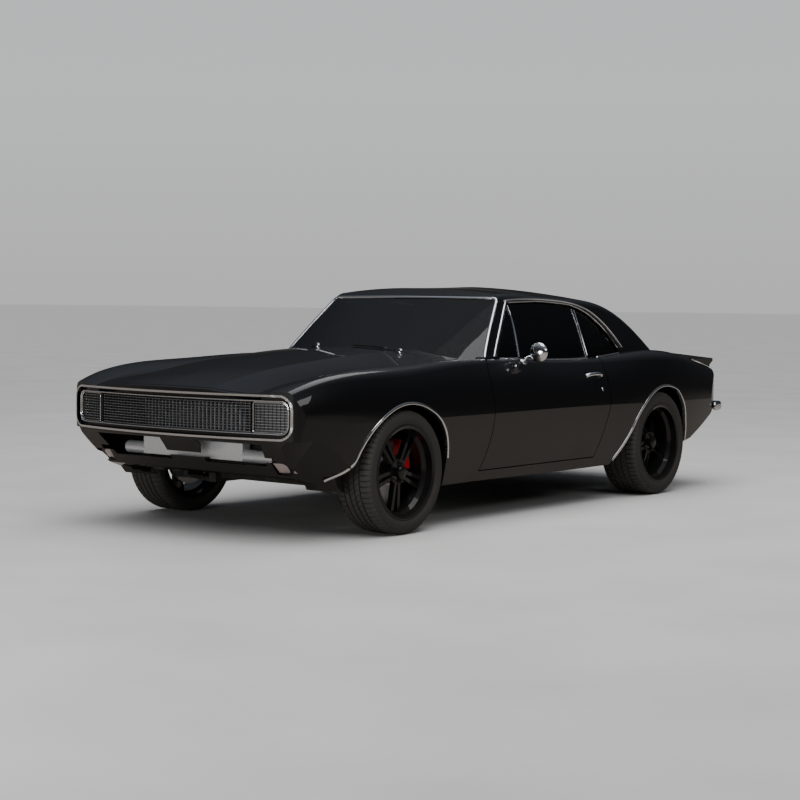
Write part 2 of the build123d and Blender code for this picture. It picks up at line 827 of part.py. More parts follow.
# Tail: panel between the quarters, lamps, bumper, shelf and spoiler
tail_inside = side_prism(loop(tail_inner_line), -1, trunk_half + 1)
tail_half = (outer & block(0, trunk_half, pan_front_y, half_length, trunk_floor_z, 1200)) - tail_inside - deck_hole
parts["tail_panel"] = both(tail_half)
shelf_low_z = 925
shelf_half = (outer & block(0, trunk_half, 1200, deck_front_y - moving_gap + 2, shelf_low_z, 1200)) - deck_hole
bulkhead_low_z = 575
shelf_half += block(0, trunk_half, cabin_rear_y, trunk_front_y, bulkhead_low_z, shelf_low_z + 5)
parts["rear_shelf"] = both(shelf_half)

# Columns: y, z, from the lid's front foot round the lip
spoiler_centre = [(2040, 924), (2330, 942), (2330, 924), (2268, 892), (2262, 840), (2040, 840)]
spoiler_end = [(1930, 880), (2245, 880), (2245, 862), (2200, 835), (2195, 780), (1930, 780)]
spoiler_half = loft(
    [
        arcs_and_lines(side_plane(0), loop(spoiler_centre)),
        arcs_and_lines(side_plane(spoiler_x), loop(spoiler_end)),
    ],
    ruled=True,
)
on_lid = spoiler_half & block(0, deck_half - moving_gap, 1800, half_length, 0, 1200)
parts["spoiler"] = both((on_lid - outer) + (spoiler_half - on_lid - over_body))

lamps = [side_prism(loop(lamp_line), x0, x1) & body_plan(lamp_proud) for x0, x1 in lamp_spans]
lamps_half = (lamps[0] + lamps[1]) - outer
parts["tail_lamps"] = lamps_half + mirror(lamps_half, about=Plane.YZ)


# Rear bumper: a blade that stands off the tail and wraps its corners
def bumper_plan(inset):
    """Outline of the bumper in plan, set in by its thickness."""
    front = (bumper_side_x - inset, bumper_front_y)
    centre = (0, half_length - inset)
    corner = (bumper_corner[0] - inset, bumper_corner[1] - inset)
    pieces = rounded_corner(front, corner, centre, -2, -tail_corner_back / 4, bumper_r - inset)
    middle_front = (0, bumper_front_y)
    return plan_prism([*pieces, (centre, middle_front), (middle_front, front)], *bumper_z)


bumper_half = bumper_plan(0) - bumper_plan(bumper_t)
for x0, x1, y0 in bumper_brackets:
    bumper_half += (bumper_plan(bumper_t - 1) & block(x0, x1, y0, half_length, *bracket_z)) - outer
parts["rear_bumper"] = both(bumper_half - outer)

# Floor with its tunnel, over the axle and down to the trunk floor
floor_top = floor_z + floor_t
tunnel_end_y = 597
# Columns: y, z of the floor's underside
floor_line = [
    (firewall_y, floor_z), (560, floor_z), (640, seat_pan_z), (1000, seat_pan_z), (1100, 530), (1560, 550),
    (1740, trunk_floor_z), (pan_front_y, trunk_floor_z),
]
floor_half = side_prism(loop(floor_line + [(y, z + floor_t) for y, z in reversed(floor_line)]), -1, door_inner_x)
floor_half = floor_half & block(0, 1000, -2000, 3000, 0, 1000)
floor_half -= block(trunk_half, 1000, 870, 2400, 0, 1000)


def tunnel_form(radius, y0, y1):
    """Round-topped tunnel with upright sides."""
    return cylinder_y(0, y0, y1, tunnel_z, radius) + block(-radius, radius, y0, y1, floor_z - 20, tunnel_z)


floor_half -= tunnel_form(tunnel_r - tunnel_t, -900, tunnel_end_y)
tunnel = tunnel_form(tunnel_r, firewall_y, tunnel_end_y) - tunnel_form(tunnel_r - tunnel_t, -900, tunnel_end_y - tunnel_t)
tunnel -= block(-200, 200, tunnel_end_y - tunnel_t - 1, tunnel_end_y + 50, 0, seat_pan_z - 60)
floor_half += tunnel & block(0, 400, -900, 900, floor_z, 600)
shaft_way = cylinder_y(0, 500, 700, shaft_z, shaft_r + 20)
parts["floor_pan"] = both(floor_half - shaft_way)


# Wheels: axis along X, face outwards, centred on the tyre's middle plane
def wheel_turned(points):
    """Solid of revolution about X through (x, radius) points."""
    return revolve(arcs_and_lines(Plane.XY, loop(points)), Axis.X, 360)


def flat_ring(x, radius):
    """Many-sided outline across the wheel's axis, with a flat at its foot."""
    outline = RegularPolygon(radius, tyre_sides, major_radius=False, rotation=180 / tyre_sides)
    return Plane(origin=(x, 0, 0), x_dir=(0, 1, 0), z_dir=(1, 0, 0)) * outline


def tyre_form(width, radius):
    """Tyre with bulged walls and rounded shoulders, recessed for the rim's flanges."""
    half = width / 2
    side = [(half - 30, radius), (half - 8, radius - 20), (half, bead_r + 48)]
    line = [(-x, r) for x, r in reversed(side)] + side
    tyre = loft([flat_ring(x, r) for x, r in line], ruled=True)
    tyre -= loft([flat_ring(-half - 1, bead_r), flat_ring(half + 1, bead_r)], ruled=True)
    for end in (1, -1):
        seat = flat_ring(end * (half - 15), flange_r + 1.5)
        tyre -= loft([seat, flat_ring(end * (half + 1), bead_r + 45)], ruled=True)
    return tyre


def rim_form(width, hub_back, hub_depth, dish):
    """Rim with a dropped barrel, a hub and pairs of spokes that lean back from it."""
    bead = width / 2 - 15
    barrel_r = bead_r - 1
    lip = bead + 7
    outer_line = [
        (-lip, flange_r), (-bead, flange_r), (-bead, barrel_r), (-bead + 40, barrel_r),
        (-bead + 60, barrel_r - barrel_drop), (bead - 60, barrel_r - barrel_drop), (bead - 40, barrel_r),
        (bead, barrel_r), (bead, flange_r), (lip, flange_r),
    ]
    inner_line = [
        (lip, flange_r - 8), (bead + 1, barrel_r - 7), (bead - 40, barrel_r - barrel_t),
        (bead - 62, barrel_r - barrel_drop - barrel_t), (-bead + 62, barrel_r - barrel_drop - barrel_t),
        (-bead + 40, barrel_r - barrel_t), (-bead - 1, barrel_r - 7), (-lip, flange_r - 8),
    ]
    rim = wheel_turned(outer_line + inner_line)
    hub_front = lip - hub_depth
    rim += cylinder_x(hub_back, hub_front - 24, 0, 0, hub_r)
    rim += cylinder_x(hub_back, hub_front, 0, 0, hub_boss_r)
    tip_front = lip - dish
    tip_r = barrel_r - barrel_drop - barrel_t / 2
    for i in range(2 * spoke_pairs):
        side = 1 if i % 2 else -1
        lean = (spoke_tip_half - spoke_foot_half) / (tip_r - hub_r)
        foot = Plane(origin=(0, side * spoke_foot_half, hub_r - 20), x_dir=(1, 0, 0), z_dir=(0, side * lean, 1))
        tip = Plane(origin=(0, side * spoke_tip_half, tip_r), x_dir=(1, 0, 0), z_dir=(0, side * lean, 1))
        foot_face = foot * Pos(hub_front - 24 - spoke_t / 2, 0) * Rectangle(spoke_t, spoke_w)
        tip_face = tip * Pos(tip_front - spoke_t / 2, 0) * Rectangle(spoke_t, spoke_w + 4)
        turn = 360 / spoke_pairs * (i // 2) - spoke_phase
        rim += Rot(turn, 0, 0) * loft([foot_face, tip_face], ruled=True)
    return rim


front_wheel_x = tyre_face_x - front_width / 2
rear_wheel_x = tyre_face_x - rear_width / 2
front_place = Pos(front_wheel_x, front_axle_y, front_tyre_r)
rear_place = Pos(rear_wheel_x, rear_axle_y, rear_tyre_r)
parts["tyre_front_left"] = front_place * tyre_form(front_width, front_tyre_r)
parts["tyre_rear_left"] = rear_place * tyre_form(rear_width, rear_tyre_r)
parts["rim_front_left"] = front_place * rim_form(front_width, front_hub_x - front_wheel_x, front_hub_depth, front_dish)
parts["rim_rear_left"] = rear_place * rim_form(rear_width, rear_hub_x - rear_wheel_x, rear_hub_depth, rear_dish)


# Front brakes and knuckles
def at_front_hub(x0, x1, radius):
    """Round bar along the front wheel's axis."""
    return cylinder_x(x0, x1, front_axle_y, front_tyre_r, radius)


rotor = at_front_hub(rotor_x, rotor_x + rotor_t, rotor_r)
rotor += at_front_hub(rotor_x + rotor_t, front_hub_x, rotor_hat_r)
rotor -= at_front_hub(rotor_x - 1, rotor_x + rotor_t + 12, pin_r + pin_play)
parts["rotor_front_left"] = rotor
upright_x = (kingpin_x - 18, kingpin_x + 14)
knuckle = block(*upright_x, front_axle_y - 34, front_axle_y + 34, ball_low_z + 6, ball_high_z - 6)
knuckle += at_front_hub(kingpin_x, rotor_x + rotor_t + 8, pin_r)
knuckle += cylinder_z(kingpin_x, front_axle_y, ball_low_z - arm_t, ball_low_z + 8, ball_r)
knuckle += cylinder_z(kingpin_x, front_axle_y, ball_high_z - 8, ball_high_z + 22, ball_r)
arm_band = (front_tyre_r + 20, front_tyre_r + 80)
knuckle += block(kingpin_x - 4, kingpin_x + 14, front_axle_y - 130, front_axle_y - 20, *arm_band)
knuckle += block(kingpin_x - 8, kingpin_x + 14, front_axle_y + 20, front_axle_y + 135, *arm_band)
parts["knuckle_left"] = knuckle
caliper = at_front_hub(kingpin_x + 14, front_hub_x - 3, caliper_outer_r) - at_front_hub(kingpin_x, front_hub_x + 5, caliper_inner_r)
caliper -= at_front_hub(rotor_x - caliper_play, rotor_x + rotor_t + caliper_play, rotor_r + caliper_play)
sector_reach = 400
sector = []
for angle in (caliper_angle - caliper_half_angle, caliper_angle + caliper_half_angle):
    lean = math.radians(angle)
    sector.append((front_axle_y + sector_reach * math.sin(lean), front_tyre_r + sector_reach * math.cos(lean)))
parts["caliper_front_left"] = caliper & side_prism(loop([(front_axle_y, front_tyre_r), *sector]), 600, 900)

# Front subframe: rails, crossmember, towers and control arms
rail_low_z = 300
rail_high_z = 390
sill_rail_z = 175
cross_half = 65
# Columns: y, z
rail_line = [
    (-2075, 364), (-2040, 364), (-1960, rail_low_z), (-1010, rail_low_z), (-850, sill_rail_z), (-450, sill_rail_z),
    (-450, floor_z), (-848, floor_z), (-1000, rail_high_z), (-2075, rail_high_z),
]
sub_half = side_prism(loop(rail_line), rail_in, engine_bay_half)
sub_half += block(0, rail_in + 60, front_axle_y - cross_half, front_axle_y + cross_half, 222, rail_low_z + 4)
sub_half += block(rail_in + 10, 475, front_axle_y - 85, front_axle_y + 85, rail_high_z - 5, 485)


def arm(x_in, half_in, z0, z1):
    """Tapered control arm from the frame to the ball joint."""
    outline = [
        (x_in, front_axle_y - half_in), (kingpin_x, front_axle_y - arm_eye_r + 2),
        (kingpin_x, front_axle_y + arm_eye_r - 2), (x_in, front_axle_y + half_in),
    ]
    shape = plan_prism(loop(outline), z0, z1) + cylinder_z(kingpin_x, front_axle_y, z0, z1, arm_eye_r)
    return shape - cylinder_z(kingpin_x, front_axle_y, z0 - 50, z1 + 50, ball_r + pin_play)


sub_half += arm(440, 110, ball_low_z - arm_t, ball_low_z)
sub_half += arm(470, 75, ball_high_z, ball_high_z + arm_t)
sub_half += block(400, engine_bay_half, front_axle_y - 110, front_axle_y + 110, ball_low_z - arm_t, rail_low_z + 5)
parts["front_subframe"] = both(sub_half)


# Rear axle on its leaf springs, with the brake drums that turn with the wheels
def at_rear_hub(x0, x1, radius):
    """Round bar along the rear axle."""
    return cylinder_x(x0, x1, rear_axle_y, rear_tyre_r, radius)


leaf_front = (640, 290)
leaf_middle = (rear_axle_y, 300)
leaf_rear = (1990, 400)
axle_half = at_rear_hub(0, 628, axle_r)
axle_half += at_rear_hub(0, 75, diff_r)
axle_half += cylinder_y(0, rear_axle_y - 200, rear_axle_y - 90, shaft_z, 50)
axle_half += at_rear_hub(622, 632, drum_r)
axle_half += at_rear_hub(620, 690, pin_r)
leaf_top = [(point[0], point[1] + leaf_t) for point in (leaf_rear, leaf_middle, leaf_front)]
spring_span = (spring_x - spring_w / 2, spring_x + spring_w / 2)
axle_half += side_prism(
    [(leaf_front, leaf_middle, leaf_rear), (leaf_rear, leaf_top[0]), tuple(leaf_top), (leaf_top[2], leaf_front)],
    *spring_span,
)
axle_half += block(*spring_span, leaf_front[0], leaf_front[0] + 50, leaf_front[1], seat_pan_z)
axle_half += block(*spring_span, leaf_rear[0] - 40, leaf_rear[0], leaf_rear[1] - 2, trunk_floor_z)
axle_half += block(spring_x - 40, spring_x + 40, rear_axle_y - 60, rear_axle_y + 60, 285, 345)
parts["rear_axle"] = both(axle_half)
drum = at_rear_hub(640, rear_hub_x, drum_r) - at_rear_hub(630, rear_hub_x - drum_t, drum_r - drum_t)
drum += at_rear_hub(652, rear_hub_x, 40)
drum -= at_rear_hub(600, 696, pin_r + pin_play)
parts["drum_rear_left"] = drum

# Powertrain as one plain block, with the propshaft
gearbox_rear_y = -360
powertrain = block(-260, 260, -1720, -1040, 305, 800)
powertrain += block(-95, 95, -1041, gearbox_rear_y, 205, 415)
parts["powertrain"] = powertrain
parts["propshaft"] = cylinder_y(0, gearbox_rear_y, rear_axle_y - 200, shaft_z, shaft_r)

# Cooler behind the grille with its end tanks and hose stubs, and the radiator in its support
cooler_x = (-375, 355)
cooler_y = (-2108, -2062)
cooler_tank_t = 12
stub_z = 432
stub_r = 34
support_y = (-2042, -2022)
intercooler = block(*cooler_x, *cooler_y, 495, 632)
intercooler += block(*cooler_x, cooler_y[0] - cooler_tank_t, cooler_y[1], 405, 500)
intercooler += extrude(
    arcs_and_lines(
        plane_at(cooler_y[0] - cooler_tank_t),
        loop([(cooler_x[0], 630), (cooler_x[1], 630), (cooler_x[1], 650), (310, 700), (cooler_x[0], 700)]),
    ),
    cooler_y[1] - cooler_y[0] + cooler_tank_t,
    dir=(0, 1, 0),
)
intercooler += cylinder_x(cooler_x[1] - 5, 560, cooler_y[0] + 20, stub_z, stub_r)
intercooler += cylinder_x(-520, cooler_x[0] + 5, cooler_y[0] + 20, stub_z, stub_r)
for bracket_x in (-320, 280):
    intercooler += block(bracket_x, bracket_x + 40, cooler_y[1] - 1, support_y[0], 560, 600)
parts["intercooler"] = intercooler
radiator = block(-330, 330, support_y[1], -1957, 392, 740)
radiator += block(-engine_bay_half, engine_bay_half, *support_y, 390, 762)
radiator -= block(-300, 300, support_y[0] - 10, support_y[1] + 8, 410, 730)
parts["radiator"] = radiator


# Exhaust with its mufflers, and the tank
def pipe(points, bend, radius):
    """Round tube along a run of straight lines with equal bends."""
    path = FilletPolyline(*points, radius=bend)
    return sweep(Plane(origin=path @ 0, z_dir=path % 0) * Circle(radius), path)


exhaust_run = [
    (300, -700, 205), (300, 940, 205), (400, 1140, 440), (tip_x, 1560, 455), (tip_x, 1800, tip_z), (tip_x, 2290, tip_z),
]
tip_y = (2240, 2318)
exhaust = pipe(exhaust_run, pipe_bend, pipe_r)
exhaust += block(215, 385, 330, 820, 160, 245)
exhaust += cylinder_y(tip_x, *tip_y, tip_z, tip_r)
exhaust += block(290, 310, 820, 850, 200, floor_z)
parts["exhaust"] = exhaust + mirror(exhaust, about=Plane.YZ)
parts["fuel_tank"] = block(-360, 360, 1590, 1930, 290, trunk_floor_z)

# Inside: dashboard, column and steering wheel
# Columns: y, z of the dashboard's section
dash_line = [(-640, 760), (-420, 690), (-350, 730), (-345, 850), (-400, 880), (-468, 880), (-468, 862), (-640, 862)]
dash_half = side_prism(loop(dash_line), 0, 700)
dash_half += block(0, door_inner_x, firewall_y, -630, 800, 862)
parts["dashboard"] = both(dash_half)
wheel_centre = Vector(370, -130, 835)
column_tilt = math.radians(22)
column_plane = Plane(origin=wheel_centre, x_dir=(1, 0, 0), z_dir=(0, math.cos(column_tilt), math.sin(column_tilt)))
steering_wheel_r = 185
steering_rim_r = 12
steering_wheel = column_plane * Torus(steering_wheel_r, steering_rim_r)
steering_wheel += column_plane * Pos(0, 0, -35) * Cylinder(38, 50)
for turn in (90, 210, 330):
    steering_wheel += column_plane * (Rot(0, 0, turn) * (Pos(100, 0, -10) * Box(165, 26, 8)))
parts["steering_wheel"] = steering_wheel
parts["steering_column"] = (column_plane * Pos(0, 0, -182) * Cylinder(28, 230)) - dash_half


# Seats: cushions with leaning backs
def leaning_back(width, thick, height, foot_y, foot_z, lean, edge_r):
    """Seat back as a rounded slab, leaned back about its foot."""
    slab = fillet(block(-width / 2, width / 2, 0, thick, 0, height).edges(), edge_r)
    return Pos(0, foot_y, foot_z) * (Rot(-lean, 0, 0) * slab)


seat_x = 390
seat_w = 490
cushion = fillet(block(seat_x - seat_w / 2, seat_x + seat_w / 2, -60, 470, 370, 500).edges(), 30)
seat_base = block(seat_x - 215, seat_x + 215, 0, 440, floor_top, 371)
parts["seat_front_left"] = cushion + seat_base + Pos(seat_x, 0, 0) * leaning_back(seat_w, 120, 600, 440, 460, 18, 35)
rear_cushion = fillet(block(-540, 540, 602, 985, seat_pan_z + floor_t, 535).edges(), 40)
parts["seat_rear"] = rear_cushion + leaning_back(1080, 110, 430, 905, 505, 20, 35)

# Door mirror: a round head on an arm with an oval foot
mirror_y = -150
mirror_z = 955
mirror_x = 900
mirror_head_r = 53
mirror_foot_y = -175
mirror_head = cylinder_y(mirror_x, mirror_y - 22, mirror_y + 12, mirror_z, mirror_head_r)
mirror_arm = cylinder_x(800, mirror_x, mirror_y - 12, mirror_z - 15, 9)
mirror_foot = cylinder_z(808, mirror_foot_y, 860, mirror_z - 10, 20)
parts["mirror_left"] = (mirror_head + mirror_arm + mirror_foot) - outer

# Right-hand copies
left_names = [name for name in parts if name.endswith("_left")]
for name in left_names:
    parts[name.removesuffix("_left") + "_right"] = mirror(parts[name], about=Plane.YZ)

os.makedirs("parts", exist_ok=True)
for name, shape in parts.items():
    export_step(shape, "parts/" + name + ".step")
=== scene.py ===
import math

import bmesh
import bpy
import numpy as np
from mathutils import Matrix, Vector
from mathutils.bvhtree import BVHTree


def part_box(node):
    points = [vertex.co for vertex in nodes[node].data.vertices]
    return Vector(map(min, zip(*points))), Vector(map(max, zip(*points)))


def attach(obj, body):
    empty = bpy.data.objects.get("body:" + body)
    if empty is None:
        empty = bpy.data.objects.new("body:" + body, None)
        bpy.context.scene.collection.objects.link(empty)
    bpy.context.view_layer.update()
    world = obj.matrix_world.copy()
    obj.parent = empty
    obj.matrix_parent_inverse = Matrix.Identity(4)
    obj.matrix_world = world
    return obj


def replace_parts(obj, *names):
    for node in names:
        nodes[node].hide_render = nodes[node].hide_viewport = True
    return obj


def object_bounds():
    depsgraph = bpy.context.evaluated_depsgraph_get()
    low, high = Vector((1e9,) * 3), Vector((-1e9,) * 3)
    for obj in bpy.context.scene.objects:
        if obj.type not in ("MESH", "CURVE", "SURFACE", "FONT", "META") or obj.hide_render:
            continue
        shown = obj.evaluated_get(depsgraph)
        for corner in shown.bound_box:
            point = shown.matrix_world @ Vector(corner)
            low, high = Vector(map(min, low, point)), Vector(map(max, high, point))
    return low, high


# The car as it stands finished, ready for its paint and trim. Its panels, glass, wheels and running gear
# come at their real size and place, and everything below is fitted to them.
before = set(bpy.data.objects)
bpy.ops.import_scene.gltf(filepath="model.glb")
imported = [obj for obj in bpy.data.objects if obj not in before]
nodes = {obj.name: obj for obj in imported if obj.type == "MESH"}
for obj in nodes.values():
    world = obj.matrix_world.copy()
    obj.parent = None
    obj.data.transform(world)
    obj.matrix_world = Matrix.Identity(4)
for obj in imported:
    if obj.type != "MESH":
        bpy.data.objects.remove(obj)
cad_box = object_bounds()

# The photographer's stand: a long lens a little above waist height, in front of the car's left corner.
# The camera leans down about three degrees and is held a touch off level.
camera_place = Vector((6.459, -8.717, 1.227))
camera_azimuth = math.radians(37.57)
camera_down = math.radians(3.15)
camera_roll = math.radians(0.67)
focal_share = 1727.3 / 800
camera_data = bpy.data.cameras.new("camera")
camera_data.sensor_width = 36
camera_data.lens = camera_data.sensor_width * focal_share
camera = bpy.data.objects.new("camera", camera_data)
bpy.context.scene.collection.objects.link(camera)
back = Vector((
    math.sin(camera_azimuth) * math.cos(camera_down),
    -math.cos(camera_azimuth) * math.cos(camera_down),
    math.sin(camera_down),
))
level_right = (-back).cross(Vector((0, 0, 1))).normalized()
level_up = level_right.cross(-back)
right = level_right * math.cos(camera_roll) + level_up * math.sin(camera_roll)
up = level_up * math.cos(camera_roll) - level_right * math.sin(camera_roll)
camera.matrix_world = Matrix.LocRotScale(
    camera_place, Matrix((right, up, back)).transposed().to_quaternion(), None
)
bpy.context.scene.camera = camera


# Finishes are mixed from here on. A wire carries one value or colour between the nodes of a finish,
# and sums on wires become the finish's own maths nodes.
class Wire:
    """One output of a node in a finish; adding to it, scaling it or taking it from a number adds a node."""

    def __init__(self, finish, socket):
        self.finish = finish
        self.socket = socket

    def maths(self, operation, first, second):
        return self.finish.add("ShaderNodeMath", {"operation": operation}, {0: first, 1: second})

    def __add__(self, other):
        return self.maths("ADD", self, other)

    def __rsub__(self, other):
        return self.maths("SUBTRACT", other, self)

    def __mul__(self, other):
        return self.maths("MULTIPLY", self, other)


class Finish:
    """A material being mixed: its nodes, added by one method, and its surface."""

    def __init__(self, name):
        self.material = bpy.data.materials.new(name)
        self.material.use_nodes = True
        self.tree = self.material.node_tree
        self.tree.nodes.clear()

    def add(self, kind, settings=None, sockets=None, out=0):
        """One node: its settings first (a ramp's stops too), then the values or wires of its sockets."""
        node = self.tree.nodes.new(kind)
        for key, value in (settings or {}).items():
            if key == "stops":
                stops = node.color_ramp.elements
                while len(stops) < len(value):
                    stops.new(0.5)
                for stop, (place, colour) in zip(stops, value):
                    stop.position = place
                    stop.color = (*colour, 1)
            else:
                setattr(node, key, value)
        for key, value in (sockets or {}).items():
            socket = node.inputs[key]
            if isinstance(value, Wire):
                self.tree.links.new(value.socket, socket)
            elif hasattr(value, "__len__") and socket.type == "RGBA":
                socket.default_value = (*value, 1)
            else:
                socket.default_value = value
        return Wire(self, node.outputs[out])

    def place(self, scale=(1, 1, 1)):
        """The point on the piece in metres, stretched by a scale."""
        where = self.add("ShaderNodeTexCoord", out="Object")
        return self.add("ShaderNodeMapping", sockets={"Vector": where, "Scale": scale})

    def noise(self, where, size, detail=3.0, rough=0.5):
        """Soft clouds whose grain is about `size` metres, from 0 to 1."""
        sockets = {"Vector": where, "Scale": 1 / size, "Detail": detail, "Roughness": rough}
        return self.add("ShaderNodeTexNoise", sockets=sockets)

    def ramp(self, value, stops):
        """Colours or greys along a value."""
        return self.add("ShaderNodeValToRGB", {"stops": stops}, {0: value})

    def steps(self, value, low, high):
        """0 below low, 1 above high, smooth between."""
        return self.add(
            "ShaderNodeMapRange", {"interpolation_type": "SMOOTHSTEP"},
            {"Value": value, "From Min": low, "From Max": high},
        )

    def mix(self, share, first, second):
        """Blend of two colours."""
        return self.add("ShaderNodeMix", {"data_type": "RGBA"}, {0: share, 6: first, 7: second}, out=2)

    def bump(self, height, depth, strength=1.0):
        """Relief `depth` metres deep from a 0 to 1 height."""
        return self.add("ShaderNodeBump", sockets={"Height": height, "Distance": depth, "Strength": strength})

    def surface(self, **sockets):
        """Closes the finish with its shader; names are the shader's sockets with _ for spaces."""
        named = {key.replace("_", " "): value for key, value in sockets.items()}
        shader = self.add("ShaderNodeBsdfPrincipled", sockets=named)
        output = self.tree.nodes.new("ShaderNodeOutputMaterial")
        self.tree.links.new(shader.socket, output.inputs["Surface"])


def dress(names, material):
    """Gives the car's own pieces a finish."""
    for name in names:
        data = nodes[name].data
        data.materials.clear()
        data.materials.append(material)


# The studio: a pale floor that runs to the horizon under a big soft box, with an even soft light from above.
# In the paint the floor shows darker and browner than it is: a painted reflection of a road. Round about it
# is pale to the eye, but dim where the paint would mirror it, so that black stays black.
floor_size = 400
floor_mesh = bpy.data.meshes.new("studio_floor")
floor_mesh.from_pydata(
    [(x * floor_size, y * floor_size, 0) for x, y in ((-1, -1), (1, -1), (1, 1), (-1, 1))], [], [(0, 1, 2, 3)]
)
floor_piece = bpy.data.objects.new("studio_floor", floor_mesh)
bpy.context.scene.collection.objects.link(floor_piece)
floor_finish = Finish("studio_floor")
floor_grain = floor_finish.noise(floor_finish.place(), 0.9, 5)
floor_seen = floor_finish.ramp(floor_grain, [(0.3, (0.5, 0.49, 0.48)), (0.7, (0.56, 0.55, 0.54))])
# The floor's colour as the paint mirrors it is a darker brown-grey: a painted reflection of a road.
floor_painted_reflection = floor_finish.add("ShaderNodeLightPath", out="Is Glossy Ray")
floor_finish.surface(
    Base_Color=floor_finish.mix(floor_painted_reflection, floor_seen, (0.26, 0.23, 0.2)),
    Roughness=0.75,
    Specular_IOR_Level=0.2,
)
floor_mesh.materials.append(floor_finish.material)

sky = bpy.data.worlds.new("studio")
sky.use_nodes = True
bpy.context.scene.world = sky
sky_nodes = sky.node_tree.nodes
sky_links = sky.node_tree.links
background = sky_nodes["Background"]
direction = sky_nodes.new("ShaderNodeTexCoord")
height = sky_nodes.new("ShaderNodeSeparateXYZ")
sky_links.new(direction.outputs["Generated"], height.inputs[0])
seen_stops = [(0.0, (0.56, 0.56, 0.56)), (0.12, (0.66, 0.67, 0.68)), (0.6, (0.5, 0.52, 0.55))]
mirrored_stops = [
    (0.0, (0.14, 0.13, 0.12)), (0.04, (0.07, 0.065, 0.06)), (0.09, (0.02, 0.02, 0.021)),
    (0.3, (0.03, 0.032, 0.036)), (0.55, (0.1, 0.11, 0.13)), (0.8, (0.22, 0.24, 0.27)),
    (1.0, (0.4, 0.43, 0.47)),
]
shades = []
for sky_stops in (mirrored_stops, seen_stops):
    sky_ramp = sky_nodes.new("ShaderNodeValToRGB")
    sky_links.new(height.outputs["Z"], sky_ramp.inputs[0])
    while len(sky_ramp.color_ramp.elements) < len(sky_stops):
        sky_ramp.color_ramp.elements.new(0.5)
    for stop, (place, colour) in zip(sky_ramp.color_ramp.elements, sky_stops):
        stop.position = place
        stop.color = (*colour, 1)
    shades.append(sky_ramp)
ray = sky_nodes.new("ShaderNodeLightPath")
choice = sky_nodes.new("ShaderNodeMix")
choice.data_type = "RGBA"
sky_links.new(ray.outputs["Is Camera Ray"], choice.inputs[0])
sky_links.new(shades[0].outputs[0], choice.inputs[6])
sky_links.new(shades[1].outputs[0], choice.inputs[7])
sky_links.new(choice.outputs[2], background.inputs["Color"])
background.inputs["Strength"].default_value = 1.0
soft_lights = [
    ("overhead", (1.0, 0.6, 7.0), (0.4, 0.2, 0.6), (9.0, 4.2), 260),
    ("front_left", (8.5, -1.5, 4.6), (0, -0.2, 0.6), (7.0, 1.6), 110),
    ("nose_fill", (0.9, -7.5, 1.1), (0, -2.2, 0.6), (2.6, 0.8), 90),
]
for light_name, stand, aim, size, power in soft_lights:
    lamp = bpy.data.lights.new(light_name, "AREA")
    lamp.shape = "RECTANGLE"
    lamp.size, lamp.size_y = size
    lamp.energy = power
    light = bpy.data.objects.new(light_name, lamp)
    light.location = stand
    light.rotation_euler = (Vector(aim) - Vector(stand)).to_track_quat("-Z", "Y").to_euler()
    bpy.context.scene.collection.objects.link(light)
even_lamp = bpy.data.lights.new("even_light", "SUN")
even_lamp.energy = 2.6
even_lamp.angle = math.radians(70)
even_light = bpy.data.objects.new("even_light", even_lamp)
even_light.rotation_euler = (math.radians(18), math.radians(12), 0)
even_light.visible_glossy = False
bpy.context.scene.collection.objects.link(even_light)

# Body panels: pressed steel in deep black under a thick clear lacquer, with the faint waviness of sprayed
# paint and a little road dust low down, whose brown tint below the side crease is also a painted reflection
# of the ground.
lacquer = Finish("black_lacquer")
at = lacquer.place()
peel = lacquer.noise(at, 0.004, 2)
above_ground = lacquer.add("ShaderNodeSeparateXYZ", sockets={0: lacquer.place()}, out="Z")
low_down = 1 - lacquer.steps(above_ground, 0.2, 0.62)
dust = lacquer.steps(lacquer.noise(at, 0.16, 6, 0.62), 0.42, 0.75)
# Brown film low down: road dust, and a painted reflection of the ground below the side crease.
dust_and_painted_reflection = low_down * (dust * 0.5 + 0.5)
lacquer.surface(
    Base_Color=lacquer.mix(dust_and_painted_reflection * 0.1, (0.0025, 0.0025, 0.003), (0.1, 0.085, 0.07)),
    Roughness=dust_and_painted_reflection * 0.25 + 0.35,
    Specular_IOR_Level=0.12,
    Coat_Weight=1 - dust_and_painted_reflection * 0.3,
    Coat_Roughness=0.02,
    Coat_IOR=1.42,
    Normal=lacquer.bump(peel, 0.00002, 0.35),
)
painted = [
    "hood", "decklid", "spoiler", "door_left", "door_right", "fender_left", "fender_right", "quarter_left",
    "quarter_right", "rocker_left", "rocker_right", "nose_panel", "roof", "tail_panel", "firewall_cowl",
    "front_valance",
]
dress(painted, lacquer.material)

# Satin black parts: the grille, the radiator with its support, and the shelf behind the rear seat.
satin = Finish("satin_black")
satin_grain = satin.noise(satin.place(), 0.0012, 3)
satin.surface(
    Base_Color=(0.012, 0.012, 0.013),
    Roughness=satin_grain * 0.15 + 0.3,
    Normal=satin.bump(satin_grain, 0.00008, 0.4),
)
dress(["grille", "rear_shelf", "radiator"], satin.material)

# Glass: dark tinted sheets.
glass = Finish("dark_glass")
glass.surface(Base_Color=(0.055, 0.06, 0.06), Roughness=0.0, Transmission_Weight=1.0, IOR=1.5)
dress(["windshield", "rear_glass", "door_glass_left", "door_glass_right"], glass.material)
dress(["quarter_glass_left", "quarter_glass_right"], glass.material)

# Brightwork: polished chrome plate with faint smudges.
chrome = Finish("chrome_plate")
smudge = chrome.noise(chrome.place(), 0.03, 4)
chrome.surface(
    Base_Color=(0.86, 0.87, 0.89), Metallic=1.0, Roughness=chrome.steps(smudge, 0.4, 0.8) * 0.12 + 0.06
)
dress(["grille_surround"], chrome.material)

